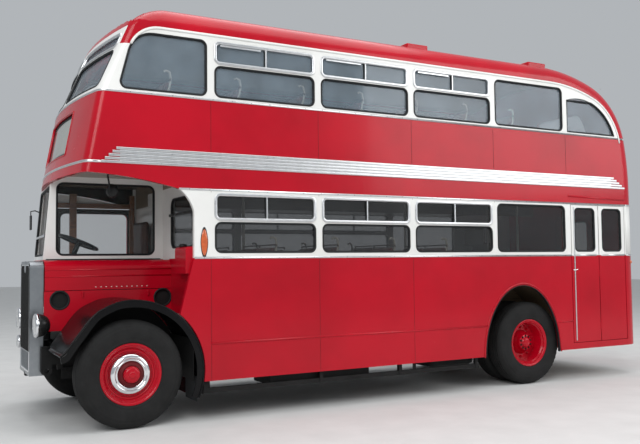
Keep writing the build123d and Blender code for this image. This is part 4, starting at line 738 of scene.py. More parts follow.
def sweep(name, paths, section, finish, body="bus", closed=True):
    """Closed section of (away, out) pairs carried along paths of (point, away, out) frames."""
    shells = [[[p + away * a + out * b for a, b in section] for p, away, out in path] for path in paths]
    return plain_piece(name, *skinned(shells, closed), finish, body, smooth=True)


def half_round(width, proud):
    """Section of a half-round moulding."""
    shares = ((-0.5, 0.0), (-0.45, 0.5), (-0.25, 0.9), (0.0, 1.0), (0.25, 0.9), (0.45, 0.5), (0.5, 0.0))
    return [(width * a, proud * b) for a, b in shares]


# Section of the body's slim mouldings
SLIM = half_round(0.022, 0.007)


def framed(laid):
    """Frames round a closed line of (point, out) pairs, pointing away from its middle."""
    centre = sum((point for point, _ in laid), Vector()) / len(laid)
    frames = []
    for i, (point, out) in enumerate(laid):
        along = laid[(i + 1) % len(laid)][0] - laid[i - 1][0]
        away = along.cross(out).normalized()
        frames.append((point, -away if away.dot(point - centre) < 0 else away, out))
    return frames


def ring_frames(outline, place, out):
    """Frames round a flat closed outline; place lays a pair in space."""
    return framed([(Vector(place(*pair)), out) for pair in outline])


def side_ring(outline, side, y=HALF):
    """Frames round a window of one side."""
    return ring_frames(outline, lambda x, z: (x, side * y, z), Vector((0, side, 0)))


def side_run(points, side, y=HALF):
    """Frames along an open line of one side, across the line upwards."""
    out = Vector((0, side, 0))
    run = [Vector((x, side * y, z)) for x, z in points]
    frames = []
    for i, point in enumerate(run):
        along = run[min(i + 1, len(run) - 1)] - run[max(i - 1, 0)]
        away = along.cross(out).normalized()
        frames.append((point, away if away.z >= 0 else -away, out))
    return frames


def laid_frames(outline, at):
    """Frames round an outline on a curved face; at gives the point and the way it faces."""
    return framed([at(*pair) for pair in outline])


def sheet(rows, columns, place):
    """Corners and faces of a curved sheet; place lays shares across and up it in space."""
    verts = [place(c / columns, r / rows) for r in range(rows + 1) for c in range(columns + 1)]
    faces = []
    for r in range(rows):
        for c in range(columns):
            a = r * (columns + 1) + c
            faces.append((a, a + 1, a + columns + 2, a + columns + 1))
    return verts, faces


def swung(arm, angle):
    """A flat arm turned by an angle."""
    c, s = math.cos(angle), math.sin(angle)
    return Vector((arm.x * c - arm.y * s, arm.x * s + arm.y * c))


def rounded(corners, steps=8):
    """Closed outline from (x, z, radius) corners."""
    line = []
    count = len(corners)
    for i, (x, z, r) in enumerate(corners):
        here = Vector((x, z))
        before = (Vector(corners[i - 1][:2]) - here).normalized()
        after = (Vector(corners[(i + 1) % count][:2]) - here).normalized()
        half = before.angle(after) / 2
        centre = here + (before + after).normalized() * (r / math.sin(half))
        start = here + before * (r / math.tan(half)) - centre
        stop = here + after * (r / math.tan(half)) - centre
        turn = math.atan2(start.x * stop.y - start.y * stop.x, start.dot(stop))
        line += [tuple(centre + swung(start, turn * k / steps)) for k in range(steps + 1)]
    return line


# Side windows


def bay_span(index):
    """Rear and front edge of the window in one bay."""
    front = FIRST_PILLAR - index * BAY - PILLAR_W / 2
    return front - BAY + PILLAR_W, front


def first_window():
    """Raked first window of the upper deck."""
    rear = FIRST_PILLAR + PILLAR_W / 2
    sill, _, top = UPPER_ROW
    return rounded(
        [
            (rear, sill, CORNER),
            (AXLE_F + QUARTER_FOOT_X, sill, CORNER),
            (AXLE_F + QUARTER_HEAD_X, top, QUARTER_CORNER),
            (rear, top, CORNER),
        ]
    )


def last_window():
    """Last window of the upper deck under the falling gutter."""
    r = DOME_R - ROOF_DROP - QUARTER_GUTTER_GAP
    front = LAST_PILLAR - PILLAR_W / 2
    sill = UPPER_ROW[0]
    low = math.asin((sill - DOME_Z) / r)
    top = min(UPPER_ROW[2], DOME_Z + math.sqrt(r**2 - (front - DOME_X) ** 2))
    high = math.asin((top - DOME_Z) / r)
    steps = 16
    curve = []
    for k in range(steps + 1):
        a = low + (high - low) * k / steps
        curve.append((DOME_X - r * math.cos(a), DOME_Z + r * math.sin(a)))
    return [(front, top), (front, sill)] + curve


def pane_outlines():
    """Window outlines of one side: plain panes with a gasket, and vent rows with a metal frame."""
    plain, vents = [first_window(), last_window()], []
    for sill, rail, top in (LOWER_ROW, UPPER_ROW):
        for index in range(4):
            x0, x1 = bay_span(index)
            if index < 3:
                plain.append(rounded_box(x0, x1, sill, rail - VENT_RAIL / 2))
                vents.append(rounded_box(x0, x1, rail + VENT_RAIL / 2, top, r=VENT_CORNER))
            else:
                plain.append(rounded_box(x0, x1, sill, top))
    return plain, vents


# Sections of the window rubbers and the vents' metal frames, as (away, out) pairs
GASKET_SECTION = [
    (0.005, -0.002), (0.005, 0.003), (0.0, 0.005), (-0.010, 0.003),
    (-0.016, -0.005), (-0.016, -0.018), (0.002, -0.018),
]
FRAME_SECTION = [
    (0.009, -0.002), (0.009, 0.005), (0.004, 0.009), (-0.014, 0.009),
    (-0.022, 0.004), (-0.022, -0.018), (0.002, -0.018),
]


def side_windows():
    """Gaskets, vent frames, their sliding bars and channels, and the rain shields of both sides."""
    plain, vents = pane_outlines()
    sweep("window_gaskets", [side_ring(o, side) for side in SIDES for o in plain], GASKET_SECTION, GASKET)
    sweep("vent_frames", [side_ring(o, side) for side in SIDES for o in vents], FRAME_SECTION, ALLOY)
    sliders, channels, shields = [], [], []
    for row in (LOWER_ROW, UPPER_ROW):
        low, high = row[1] + VENT_RAIL / 2 + 0.018, row[2] - 0.018
        for index in range(3):
            x0, x1 = bay_span(index)
            mid = (x0 + x1) / 2
            kinds = [
                (sliders, mid - 0.008, mid + 0.008, HALF - 0.016, HALF + 0.004, low, high),
                (channels, mid + 0.006, mid + 0.017, HALF - 0.018, HALF - 0.008, low, high),
            ]
            if row is UPPER_ROW:
                z0, z1 = row[2] - 0.045, row[2] - 0.028
                kinds.append((shields, mid + 0.06, x1 - 0.06, HALF + 0.004, HALF + 0.010, z0, z1))
            for side in SIDES:
                for spans, *span in kinds:
                    spans.append(side_span(side, *span))
    boxes("vent_bars", sliders, ALLOY, bevel=0.003)
    boxes("vent_channels", channels, GASKET, bevel=0)
    boxes("vent_rain_shields", shields, ALLOY)


side_windows()


# Mouldings


def reach_at(z):
    """How far the centre of the front stands ahead of the axle at a height."""
    levels = ((CANT_Z, FRONT_FOOT_X), (UPPER_WAIST_Z, FRONT_WAIST_X), (GUTTER_Z, FRONT_HEAD_X))
    for (z0, a), (z1, b) in zip(levels, levels[1:]):
        if z <= z1:
            break
    return a + (b - a) * (z - z0) / (z1 - z0)


def front_ring(z, x_back):
    """Frames round the bowed front at one height, from the nearside to the offside."""
    tip = AXLE_F + reach_at(z)
    inner_y = HALF - FRONT_CORNER_R
    reach = math.sqrt((FRONT_BOW_R - FRONT_CORNER_R) ** 2 - inner_y**2)
    corner_x = tip - FRONT_BOW_R + reach
    swing = math.atan2(inner_y, reach)
    near = [(x_back, HALF, math.pi / 2), (corner_x, HALF, math.pi / 2)]
    for k in range(1, 7):
        a = math.pi / 2 + (swing - math.pi / 2) * k / 6
        near.append((corner_x + FRONT_CORNER_R * math.cos(a), inner_y + FRONT_CORNER_R * math.sin(a), a))
    bow = []
    for k in range(1, 24):
        a = swing - 2 * swing * k / 24
        bow.append((tip - FRONT_BOW_R + FRONT_BOW_R * math.cos(a), FRONT_BOW_R * math.sin(a), a))
    plan = near + bow + [(x, -y, -a) for x, y, a in reversed(near)]
    return [(Vector((x, y, z)), UP, Vector((math.cos(a), math.sin(a), 0))) for x, y, a in plan]


def gutter_run(side):
    """Frames along the gutter, down the front horn and round the rear dome."""
    knee, stop = 20, 78.7
    line = arc_through(*[(AXLE_F + x, z) for x, z in DOME_HORN], steps=10)
    start = AXLE_F + DOME_HORN[-1][0]
    line += [(start + (ROOF_END - start) * k / 6, GUTTER_Z) for k in range(1, 6)]
    for x, z, r, turns in (
        (ROOF_END, TOP_Z - DOME_TOP_R, DOME_TOP_R - ROOF_DROP, [knee * k / 8 for k in range(8)]),
        (DOME_X, DOME_Z, DOME_R - ROOF_DROP, [knee + (stop - knee) * k / 16 for k in range(1, 17)]),
    ):
        for turn in turns:
            a = math.radians(turn)
            line.append((x - r * math.sin(a), z + r * math.cos(a)))
    return side_run(line, side)


def arc_through(a, b, c, steps):
    """Points on the arc through three points, as pairs."""
    a, b, c = Vector(a), Vector(b), Vector(c)
    d = 2 * (a.x * (b.y - c.y) + b.x * (c.y - a.y) + c.x * (a.y - b.y))
    sq = [p.length_squared for p in (a, b, c)]
    x = (sq[0] * (b.y - c.y) + sq[1] * (c.y - a.y) + sq[2] * (a.y - b.y)) / d
    y = (sq[0] * (c.x - b.x) + sq[1] * (a.x - c.x) + sq[2] * (b.x - a.x)) / d
    centre = Vector((x, y))
    first, last = a - centre, c - centre
    turn = math.atan2(first.x * last.y - first.y * last.x, first.dot(last))
    return [tuple(centre + swung(first, turn * k / steps)) for k in range(steps + 1)]


def fixings(name, runs, pitch, proud):
    """Small screw heads along straight runs given as x0, x1, z, side."""
    spots = []
    for x0, x1, z, side in runs:
        count = max(1, int((x1 - x0) / pitch))
        for k in range(count):
            spots.append(((x0 + (k + 0.5) * (x1 - x0) / count, side * (HALF + proud), z), (0, side, 0)))
    studs(name, spots, 0.0042, 0.0018, UNDER, sides=8)


def mouldings():
    """Half-round mouldings along the sides and round the front, the gutter, and the screws that hold them."""
    end_x = REAR + ROOF_DROP
    side_lines, skirt_lines, screw_lines = [], [], []
    for side in SIDES:
        front = PILLAR_FRONT if side > 0 else BULKHEAD_X
        rear = DOOR_FRONT + 0.002 if side > 0 else end_x
        cant_front = AXLE_F - 0.441 if side > 0 else BULKHEAD_X
        side_lines.append(side_run([(front - 0.004, WAIST_Z), (rear, WAIST_Z)], side))
        side_lines.append(side_run([(cant_front, CANT_Z), (end_x, CANT_Z)], side))
        for x0, x1 in ((FIRST_PILLAR, SKIRT_ARCH_FRONT), (SKIRT_ARCH_REAR, rear)):
            skirt_lines.append(side_run([(x0, SKIRT_LINE_Z), (x1, SKIRT_LINE_Z)], side))
        screw_lines += [
            (rear, front, WAIST_Z, side),
            (end_x, cant_front, CANT_Z, side),
            (end_x, FIRST_PILLAR + 0.9, UPPER_WAIST_Z, side),
            (end_x + 0.3, FIRST_PILLAR + 0.5, GUTTER_Z, side),
        ]
    sweep("side_mouldings", side_lines, SLIM, ALLOY, closed=False)
    sweep("skirt_mouldings", skirt_lines, SLIM, RED, closed=False)
    sweep("upper_waist_moulding", [front_ring(UPPER_WAIST_Z, end_x)], SLIM, ALLOY, closed=False)
    band = front_ring(BAND_LINE_Z, AXLE_F + 0.26)
    sweep("band_moulding", [band], half_round(0.026, 0.008), ALLOY, closed=False)
    lip = [(-0.012, 0.0), (-0.012, 0.006), (-0.004, 0.009), (0.008, 0.009), (0.013, 0.005), (0.013, 0.0)]
    sweep("roof_gutter", [gutter_run(side) for side in SIDES], lip, WHITE, closed=False)
    fixings("moulding_screws", screw_lines, 0.2, 0.0065)


mouldings()


# Front of the upper deck


def front_skin_point(y, z, sink=0.0):
    """Point on the bowed front, or sunk behind it, and the way it faces."""
    ahead = math.sqrt(FRONT_BOW_R**2 - y**2)
    x = AXLE_F + reach_at(z) - FRONT_BOW_R + ahead
    slope = (reach_at(z + 0.01) - reach_at(z - 0.01)) / 0.02
    out = Vector((ahead / FRONT_BOW_R, y / FRONT_BOW_R, -slope)).normalized()
    return Vector((x, y, z)) - out * sink, out


def split_line(outline, gap=0.06, cuts=None):
    """Closed outline with its straights cut up by length, or each into a number of cuts."""
    line = []
    for i, near in enumerate(outline):
        far = outline[(i + 1) % len(outline)]
        steps = cuts or max(1, int(math.dist(near, far) / gap))
        line += [tuple(a + (b - a) * k / steps for a, b in zip(near, far)) for k in range(steps)]
    return line


def front_windows():
    """Gaskets and metal vent frames of the upper front, and the blind box with its glass."""
    plain, vents = [], []
    for side in SIDES:
        y0, y1 = sorted((side * FRONT_PANE_GAP / 2, side * FRONT_PANE_HALF))
        plain.append(rounded_box(y0, y1, FRONT_PANE_SILL_Z, FRONT_PANE_RAIL_Z - VENT_RAIL / 2, r=0.06))
        vents.append(rounded_box(y0, y1, FRONT_PANE_RAIL_Z + VENT_RAIL / 2, FRONT_PANE_HEAD_Z, r=VENT_CORNER))
    inset = 0.030
    y1, z0, z1 = BLIND_HALF - inset, BLIND_Z0 + inset, BLIND_Z1 - inset
    recess = rounded_box(-BLIND_HALF, BLIND_HALF, BLIND_Z0, BLIND_Z1, r=0.012, steps=2)
    lip = [(0.010, -0.001), (0.010, 0.004), (0.0, 0.006), (-0.006, 0.003), (-0.006, -0.030), (0.004, -0.030)]
    band = [(0.024, -0.031), (0.024, -0.024), (-0.004, -0.022), (-0.010, -0.026), (-0.010, -0.031)]
    for name, outlines, section, finish in (
        ("front_window_gaskets", plain, GASKET_SECTION, GASKET),
        ("front_vent_frames", vents, FRAME_SECTION, ALLOY),
        ("blind_recess_lip", [recess], lip, RED),
        ("blind_glass_rubber", [rounded_box(-y1, y1, z0, z1, r=0.02, steps=3)], band, GASKET),
    ):
        sweep(name, [laid_frames(split_line(o), front_skin_point) for o in outlines], section, finish)

    def pane(across, up):
        return tuple(front_skin_point(y1 * (2 * across - 1), z0 + (z1 - z0) * up, BLIND_DEPTH - 0.005)[0])

    plain_piece("blind_glass", *sheet(6, 24, pane), BLIND, smooth=True)


front_windows()


# Cab


def cab_face_x(y, z):
    """Outer face of the windscreen frame."""
    share = (CAB_NEAR_Y - y) / (CAB_NEAR_Y + HALF)
    foot = CAB_FRONT_X + (CAB_FRONT_FAR_X - CAB_FRONT_X) * share
    return AXLE_F + foot - CAB_RAKE * (z - WAIST_Z) / (CANOPY_Z - WAIST_Z)


def cab_trim():
    """Gaskets, timber, screen bar and dash of the cab."""
    side_x = AXLE_F + CAB_FRONT_X - CAB_PANE_FRONT
    near = rounded_box(BULKHEAD_X + CAB_PANE_REAR, side_x, CAB_PANE_SILL_Z, CAB_PANE_HEAD_Z, r=0.07)
    frames = ring_frames(near, lambda x, z: (x, CAB_NEAR_Y, z), Vector((0, 1, 0)))
    sweep("cab_side_gasket", [frames], GASKET_SECTION, GASKET)
    y0, y1 = -1.010, CAB_NEAR_Y - 0.055
    z0, z1 = CAB_PANE_SILL_Z, CAB_PANE_HEAD_Z - 0.035
    out = Vector((math.cos(SCREEN_TURN), math.sin(-SCREEN_TURN), 0.09)).normalized()
    screen = ring_frames(rounded_box(y0, y1, z0, z1, r=0.06), lambda y, z: (cab_face_x(y, z), y, z), out)
    sweep("windscreen_gasket", [screen], GASKET_SECTION, GASKET)
    mid_z = 1.83
    spans = []
    for k in range(8):
        ya, yb = y0 + (y1 - y0) * k / 8, y0 + (y1 - y0) * (k + 1) / 8
        x = cab_face_x((ya + yb) / 2, mid_z)
        spans.append((x - 0.020, x + 0.004, ya, yb + 0.002, mid_z - 0.012, mid_z + 0.012))
    boxes("windscreen_bar", spans, ALLOY)
    back, front = BULKHEAD_X + 0.02, AXLE_F + 0.330
    far = -HALF + CAB_T + 0.002
    inner = CAB_NEAR_Y - CAB_T - 0.002
    timber_spans = [
        (AXLE_F + 0.085, AXLE_F + 0.165, far, far + 0.05, 1.60, 2.36),
        (back, back + 0.06, far, far + 0.05, 1.60, 2.36),
        (back, front, far, far + 0.045, 2.195, 2.255),
        (back, front, far, far + 0.05, 1.58, 1.615),
        (back + 0.02, AXLE_F + CAB_FRONT_X - 0.10, inner - 0.026, inner, 1.585, 1.622),
        (back + 0.02, back + 0.065, inner - 0.028, inner, 1.62, 2.38),
    ]
    boxes("cab_timber", timber_spans, CAB_WOOD, bevel=0.006)
    boxes("cab_dash", [(AXLE_F + 0.36, AXLE_F + 0.50, -0.98, -0.05, 1.50, 1.60)], HORN, bevel=0.02)


cab_trim()


# Bonnet, radiator and lamps


def bonnet_trim():
    """Beads, louvre slots in painted highlight white, catches and hole rims of the bonnet, and the apron
    behind it.
    """
    y = BONNET_HALF
    back = BULKHEAD_X + 0.008
    front = AXLE_F + RAD_BACK_X - 0.008
    runs = [side_run([(front, z), (back, z)], 1, y) for z in (1.478, 1.412)]
    sweep("bonnet_beads", runs, half_round(0.014, 0.006), RED, "bonnet_lid_body", closed=False)
    # The louvre slots are drawn white: painted highlights where their lips catch the light on the red bonnet
    slots = []
    for k in range(LOUVRES):
        x = AXLE_F - 0.35 + k * 0.52 / (LOUVRES - 1)
        slots.append((x - 0.007, x + 0.007, y, y + 0.003, 1.299, 1.305))
    boxes("bonnet_louvres", slots, WHITE, "bonnet_lid_body")
    rims, screens = [], []
    for hole_x in (AXLE_F + HOLE_X, AXLE_F - HOLE_X):
        outline = arc((hole_x, HOLE_Z), HOLE_R, 0, 352, 44)
        rims.append(ring_frames(outline, lambda x, z: (x, y, z), Vector((0, 1, 0))))
        screens.append((hole_x - 0.12, hole_x + 0.12, y - 0.030, y - 0.024, HOLE_Z - 0.12, HOLE_Z + 0.095))
    rim = [(0.012, 0.0), (0.012, 0.004), (0.002, 0.008), (-0.006, 0.004), (-0.006, -0.012)]
    sweep("bonnet_hole_rims", rims, rim, GASKET)
    boxes("bonnet_hole_screens", screens, UNDER, bevel=0)
    catches = []
    for x in (AXLE_F + 0.30, AXLE_F - 0.36):
        catches.append((x - 0.010, x + 0.010, y, y + 0.014, 1.235, 1.270))
        catches.append((x - 0.006, x + 0.006, y + 0.008, y + 0.020, 1.205, 1.250))
    boxes("bonnet_catches", catches, RED, bevel=0.003)
    boxes("bulkhead_apron", [(BULKHEAD_X, BULKHEAD_X + 0.012, y - 0.06, HALF - WALL, 1.02, WAIST_Z)], RED)


def radiator_trim():
    """Rounded rim, upright slats, lower mesh and boss of the radiator, and the starting handle's bracket."""
    x = AXLE_F + RAD_BACK_X + RAD_DEPTH
    half = RAD_HALF - RAD_RIM
    z0, z1 = RAD_FOOT_Z + RAD_RIM, RAD_TOP_Z - RAD_RIM
    mesh_top = z0 + RAD_MESH_H
    frames = ring_frames(rounded_box(-half, half, z0, z1, r=0.055), lambda y, z: (x, y, z), Vector((1, 0, 0)))
    rim = [(0.012, -0.002), (0.010, 0.003), (0.0, 0.0035), (-0.006, 0.0), (-0.006, -0.05), (0.004, -0.05)]
    sweep("radiator_inner_rim", [frames], rim, CHROME)
    lip = 0.020
    wide, high = half + lip, z1 + lip * 0.6
    boxes("radiator_block", [(x - 0.012, x + 0.0008, -wide, wide, mesh_top, high)], UNDER, bevel=0.001)
    slats, wires = [], []
    count = 33
    for k in range(count):
        y = -wide + (k + 0.5) * 2 * wide / count
        slats.append((x, x + 0.0028, y - 0.0035, y + 0.0035, mesh_top, high))
    boxes("radiator_slats", slats, UNDER, bevel=0.001)
    boxes("radiator_mesh_back", [(x - 0.020, x - 0.012, -half, half, z0, mesh_top)], UNDER, bevel=0.001)
    pitch = 0.036
    for k in range(-6, 17):
        foot = k * pitch - half
        for ends in ((foot, foot + RAD_MESH_H), (foot + RAD_MESH_H, foot)):
            wire = clip_line((ends[0], z0), (ends[1], mesh_top), half)
            if wire:
                wires.append([(x - 0.006, y, z) for y, z in wire])
    bars("radiator_mesh", wires, 0.0026, SHELL, sides=5)
    bar = (x - 0.010, x + 0.0014, -wide, wide, mesh_top - 0.010, mesh_top + 0.006)
    boxes("radiator_mesh_bar", [bar], SHELL)
    boss = [(0.0, 0.0), (0.0, 0.060), (0.002, 0.058), (0.003, 0.052), (0.0022, 0.046), (0.0022, 0.0)]
    turned("radiator_boss", boss, (x + 0.001, 0, z1 - 0.014), SHELL, steps=40, axis="X")
    bracket = [(x - 0.085, x, -0.035, 0.035, RAD_FOOT_Z - 0.03, RAD_FOOT_Z + 0.02)]
    boxes("starting_handle_bracket", bracket, UNDER, bevel=0.006)


def clip_line(a, b, half):
    """Part of a line between two upright edges at plus and minus half."""
    (y0, z0), (y1, z1) = a, b
    if max(y0, y1) < -half or min(y0, y1) > half:
        return None
    ends = []
    for y, z in (a, b):
        if abs(y) > half:
            edge = math.copysign(half, y)
            z = z0 + (z1 - z0) * (edge - y0) / (y1 - y0)
            y = edge
        ends.append((y, z))
    return ends


def front_lamps():
    """Chrome rims, bowls and glasses of the headlamps and the fog lamp."""
    x = AXLE_F + 0.786
    for label, y, z, r in (
        ("headlamp_nearside", 0.6, 0.96, 0.105),
        ("headlamp_offside", -0.6, 0.96, 0.105),
        ("fog_lamp", -0.6, 0.715, 0.060),
    ):
        rim = [
            (-0.034, r + 0.001), (-0.026, r + 0.010), (-0.006, r + 0.009),
            (0.0038, r - 0.006), (0.001, r - 0.012), (-0.002, r - 0.012),
        ]
        bowl = [
            (-0.020, r - 0.02), (-0.022, r + 0.002), (-0.045, r + 0.003), (-0.080, r * 0.93),
            (-0.110, r * 0.76), (-0.130, r * 0.52), (-0.140, r * 0.25), (-0.142, 0.0), (-0.020, 0.0),
        ]
        lens = [
            (0.0, r - 0.01), (0.0014, r * 0.8), (0.0026, r * 0.5),
            (0.0034, r * 0.2), (0.0036, 0.0), (0.0005, 0.0),
        ]
        for part, profile, finish in (("rim", rim, CHROME), ("bowl", bowl, HORN), ("lens", lens, LAMP)):
            turned("%s_%s" % (label, part), profile, (x, y, z), finish, steps=40, axis="X")


def side_indicators():
    """Pointed ear lamps behind the front pillars: a black rim and an amber dome of (share, proud) stages."""
    x, z = AXLE_F - 0.694, 1.730
    wide, high, depth = 0.034, 0.130, 0.33
    rim = ((1.16, 0.0), (1.14, 0.006), (1.0, 0.008), (0.9, 0.004), (0.0, 0.004))
    lens = ((1.0, 0.005), (0.94, 0.013), (0.78, 0.021), (0.5, 0.027), (0.2, 0.029), (0.0, 0.0295))
    steps = 28
    for side, hand in HANDS:
        for label, stages, finish in (("rim", rim, HORN), ("lens", lens, AMBER)):
            rings = []
            for share, proud in stages:
                y = side * (HALF + proud * depth)
                ring = []
                for k in range(steps):
                    a = 2 * math.pi * k / steps
                    up = math.copysign(abs(math.cos(a)) ** 1.25, math.cos(a))
                    ring.append((x + wide * share * math.sin(a), y, z + high * share * up))
                rings.append(ring)
            shell = skinned([rings], closed=False, capped=False)
            plain_piece("indicator_%s_%s" % (label, hand), *shell, finish, smooth=True)


bonnet_trim()
radiator_trim()
front_lamps()
side_indicators()


# Doors and rear wall


def white_skin(name, outer, inner, at, body, proud):
    """Thin white skin with a hole, between two lines on the face that at gives."""
    rings = []
    for a, b in zip(outer, inner):
        (p, n), (q, m) = at(*a), at(*b)
        rings.append((p - n * PAINT_SUNK, p + n * proud, q + m * proud, q - m * PAINT_SUNK))
    plain_piece(name, *skinned([rings]), WHITE, body)


def rear_at(y, z):
    """Point on the crowned rear wall and the way it faces."""
    centre_y = HALF - REAR_CORNER_R
    side = math.copysign(1.0, y)
    swing = math.asin(centre_y / (REAR_CROWN_R - REAR_CORNER_R))
    if abs(y) <= REAR_CROWN_R * math.sin(swing):
        a = math.asin(abs(y) / REAR_CROWN_R)
        out = Vector((-math.cos(a), side * math.sin(a), 0))
        return Vector((REAR + REAR_CROWN_R, 0, z)) + out * REAR_CROWN_R, out
    a = math.acos(min(1.0, (abs(y) - centre_y) / REAR_CORNER_R))
    out = Vector((-math.sin(a), side * math.cos(a), 0))
    return Vector((REAR + ROOF_DROP, side * centre_y, z)) + out * REAR_CORNER_R, out


def rear_run(z, stop, side):
    """Frames round one rear corner, from the side to a breadth."""
    ys = [HALF - REAR_CORNER_R * (1 - math.cos(math.radians(a))) for a in range(0, 82, 6)]
    low = ys[-1]
    ys += [low + (stop - low) * k / 10 for k in range(1, 11)]
    laid = [rear_at(side * y, z) for y in ys]
    return [(point, UP, out) for point, out in laid]


def rear_line(z, half, steps):
    """Frames along the middle of the rear wall, level, from one breadth to the other."""
    laid = [rear_at(half * (1 - 2 * k / steps), z) for k in range(steps + 1)]
    return [(point, UP, out) for point, out in laid]


def flat_section(height):
    """Section of a thin painted band."""
    edges = ((-1, -PAINT_SUNK), (-1, PAINT_PROUD), (1, PAINT_PROUD), (1, -PAINT_SUNK))
    return [(height / 2 * side, out) for side, out in edges]


def leaf_at(x, z):
    """Point on the outer face of the platform doors."""
    return Vector((x, HALF, z)), Vector((0, 1, 0))


def platform_doors():
    """White upper halves, window rubbers, waist mouldings, joint rubber and rails of the folding doors."""
    for label, x0, x1 in LEAF_SPANS:
        body = "platform_%s_leaf_body" % label
        outer = rounded_box(x0 + 0.002, x1 - 0.002, WAIST_Z + 0.004, LEAF_HEAD_Z - 0.003, r=0.004)
        pane = rounded_box(x0 + 0.06, x1 - 0.06, LOWER_ROW[0], LOWER_ROW[2] - 0.02, r=0.06)
        white_skin("door_white_" + label, outer, pane, leaf_at, body, LEAF_PAINT_PROUD)
        sweep("door_gasket_" + label, [side_ring(pane, 1, HALF - 0.0015)], GASKET_SECTION, GASKET, body)
        ends = (x1 - 0.004, x0 + 0.034) if label == "front" else (x1 - 0.034, x0 + 0.004)
        run = side_run([(x, WAIST_Z) for x in ends], 1)
        sweep("door_waist_" + label, [run], half_round(0.020, 0.0028), ALLOY, body, closed=False)
    leaf = "platform_front_leaf_body"
    _, rear, front = LEAF_SPANS[0]
    rubber_strip = (rear - 0.006, rear - 0.0005, HALF - 0.030, HALF - 0.003, 0.49, LEAF_HEAD_Z - 0.01)
    boxes("door_joint_rubber", [rubber_strip], GASKET, leaf)
    rail = [(front - 0.045, HALF + 0.0015, z) for z in (0.50, 1.0, 1.6, 2.2)]
    bars("door_grab_rail", [rail], 0.0085, ALLOY, leaf, sides=12)
    knob = ((0.012, 0.002, 1.395), (0.05, 0.003, 1.392), (0.09, 0.002, 1.40))
    bars("door_handle", [[(front - a, HALF + b, z) for a, b, z in knob]], 0.0065, CHROME, leaf, sides=10)
    strip = side_run([(DOOR_FRONT + 0.03, 2.338), (DOOR_REAR - 0.02, 2.312)], 1)
    sweep("door_rain_strip", [strip], half_round(0.022, 0.0085), RED, closed=False)
    sill = (DOOR_REAR + 0.01, DOOR_FRONT - 0.01, HALF - 0.06, HALF - 0.004, 0.455, 0.468)
    boxes("door_sill", [sill], UNDER)


def rear_white():
    """White band of the rear wall and the lintel over its door."""
    edge = EXIT_HALF + 0.006
    band = [rear_run((WAIST_Z + CANT_Z) / 2, edge, side) for side in SIDES]
    sweep("rear_white_band", band, flat_section(CANT_Z - WAIST_Z - 0.004), WHITE, closed=False)
    lintel = rear_line((EXIT_Z1 + 0.006 + CANT_Z - 0.002) / 2, edge, 12)
    sweep("rear_white_lintel", [lintel], flat_section(CANT_Z - EXIT_Z1 - 0.010), WHITE, closed=False)


def emergency_door():
    """White upper half, window rubber, waist moulding and surround of the emergency door."""
    body = "emergency_door_body"
    edge = EXIT_HALF - 0.006
    outer = split_line(rounded_box(-edge, edge, WAIST_Z + 0.004, EXIT_Z1 - 0.006, r=0.004), cuts=3)
    pane = split_line(rounded_box(-0.240, 0.240, LOWER_ROW[0], LOWER_ROW[2] - 0.12), cuts=3)
    white_skin("exit_white", outer, pane, rear_at, body, PAINT_PROUD)
    sweep("exit_gasket", [laid_frames(pane, rear_at)], GASKET_SECTION, GASKET, body)
    waist = rear_line(WAIST_Z, EXIT_HALF - 0.008, 10)
    sweep("exit_waist", [waist], SLIM, ALLOY, body, closed=False)
    seam = split_line(rounded_box(-EXIT_HALF, EXIT_HALF, EXIT_Z0, EXIT_Z1, r=0.01, steps=3), cuts=6)
    lip = [(0.004, -0.001), (0.004, 0.003), (0.016, 0.003), (0.018, -0.001)]
    sweep("exit_surround", [laid_frames(seam, rear_at)], lip, RED)


def rear_mouldings():
    """Mouldings round the rear at the waist, the cant and the upper waist, the last on the roof's dome."""
    waist = [rear_run(WAIST_Z, EXIT_HALF + 0.026, side) for side in SIDES]
    cant = [rear_run(CANT_Z, 0.0, side) for side in SIDES]
    lift = UP * 0.012
    upper = []
    for point, up, out in rear_run(UPPER_WAIST_Z, 0.0, 1)[1:] + rear_run(UPPER_WAIST_Z, 0.0, -1)[-2:0:-1]:
        found = on_mesh("roof", point + out * 0.3 + lift, -out)
        upper.append((found[0] - lift if found else point, up, out))
    sweep("rear_mouldings", waist + cant + [upper], SLIM, ALLOY, closed=False)


def rear_fittings():
    """Indicators, tail lamps and reflectors in bright rims, the corner lamp and the grab rail of the rear."""
    for label, z, r, finish in (
        ("indicator", 1.30, 0.045, AMBER),
        ("tail_lamp", 1.02, 0.042, RUBY),
        ("reflector", 0.62, 0.036, RUBY),
    ):
        dome = [(0.0, 0.0), (0.0, r), (-0.006, r), (-0.016, r * 0.75), (-0.021, r * 0.35), (-0.022, 0.0)]
        rim = [(0.0, r - 0.002), (-0.008, r + 0.001), (-0.008, r + 0.007), (0.0, r + 0.009)]
        for side, hand in HANDS:
            at = rear_at(side * 0.86, z)[0] + Vector((0.004, 0, 0))
            turned("rear_%s_%s" % (label, hand), dome, at, finish, steps=32, axis="X")
            turned("rear_%s_rim_%s" % (label, hand), rim, at, CHROME, steps=32, axis="X")
    point, out = rear_at(1.115, 1.487)
    studs("corner_lamp", [(point - out * 0.004, out)], 0.026, 0.024, AMBER, sides=24)
    grip = ((0.012, 1.25), (0.026, 1.27), (0.026, 1.75), (0.012, 1.77))
    bars("rear_grab_rail", [[(REAR - a, -0.40, z) for a, z in grip]], 0.007, CHROME, sides=12)


def on_mesh(node, origin, way):
    """Where a ray first meets a CAD node, and its normal there."""
    shape = frame["nodes"][node]
    into = shape.matrix_world.inverted()
    hit, point, normal, _ = shape.ray_cast(into @ Vector(origin), into.to_3x3() @ Vector(way))
    return (shape.matrix_world @ point, (shape.matrix_world.to_3x3() @ normal).normalized()) if hit else None


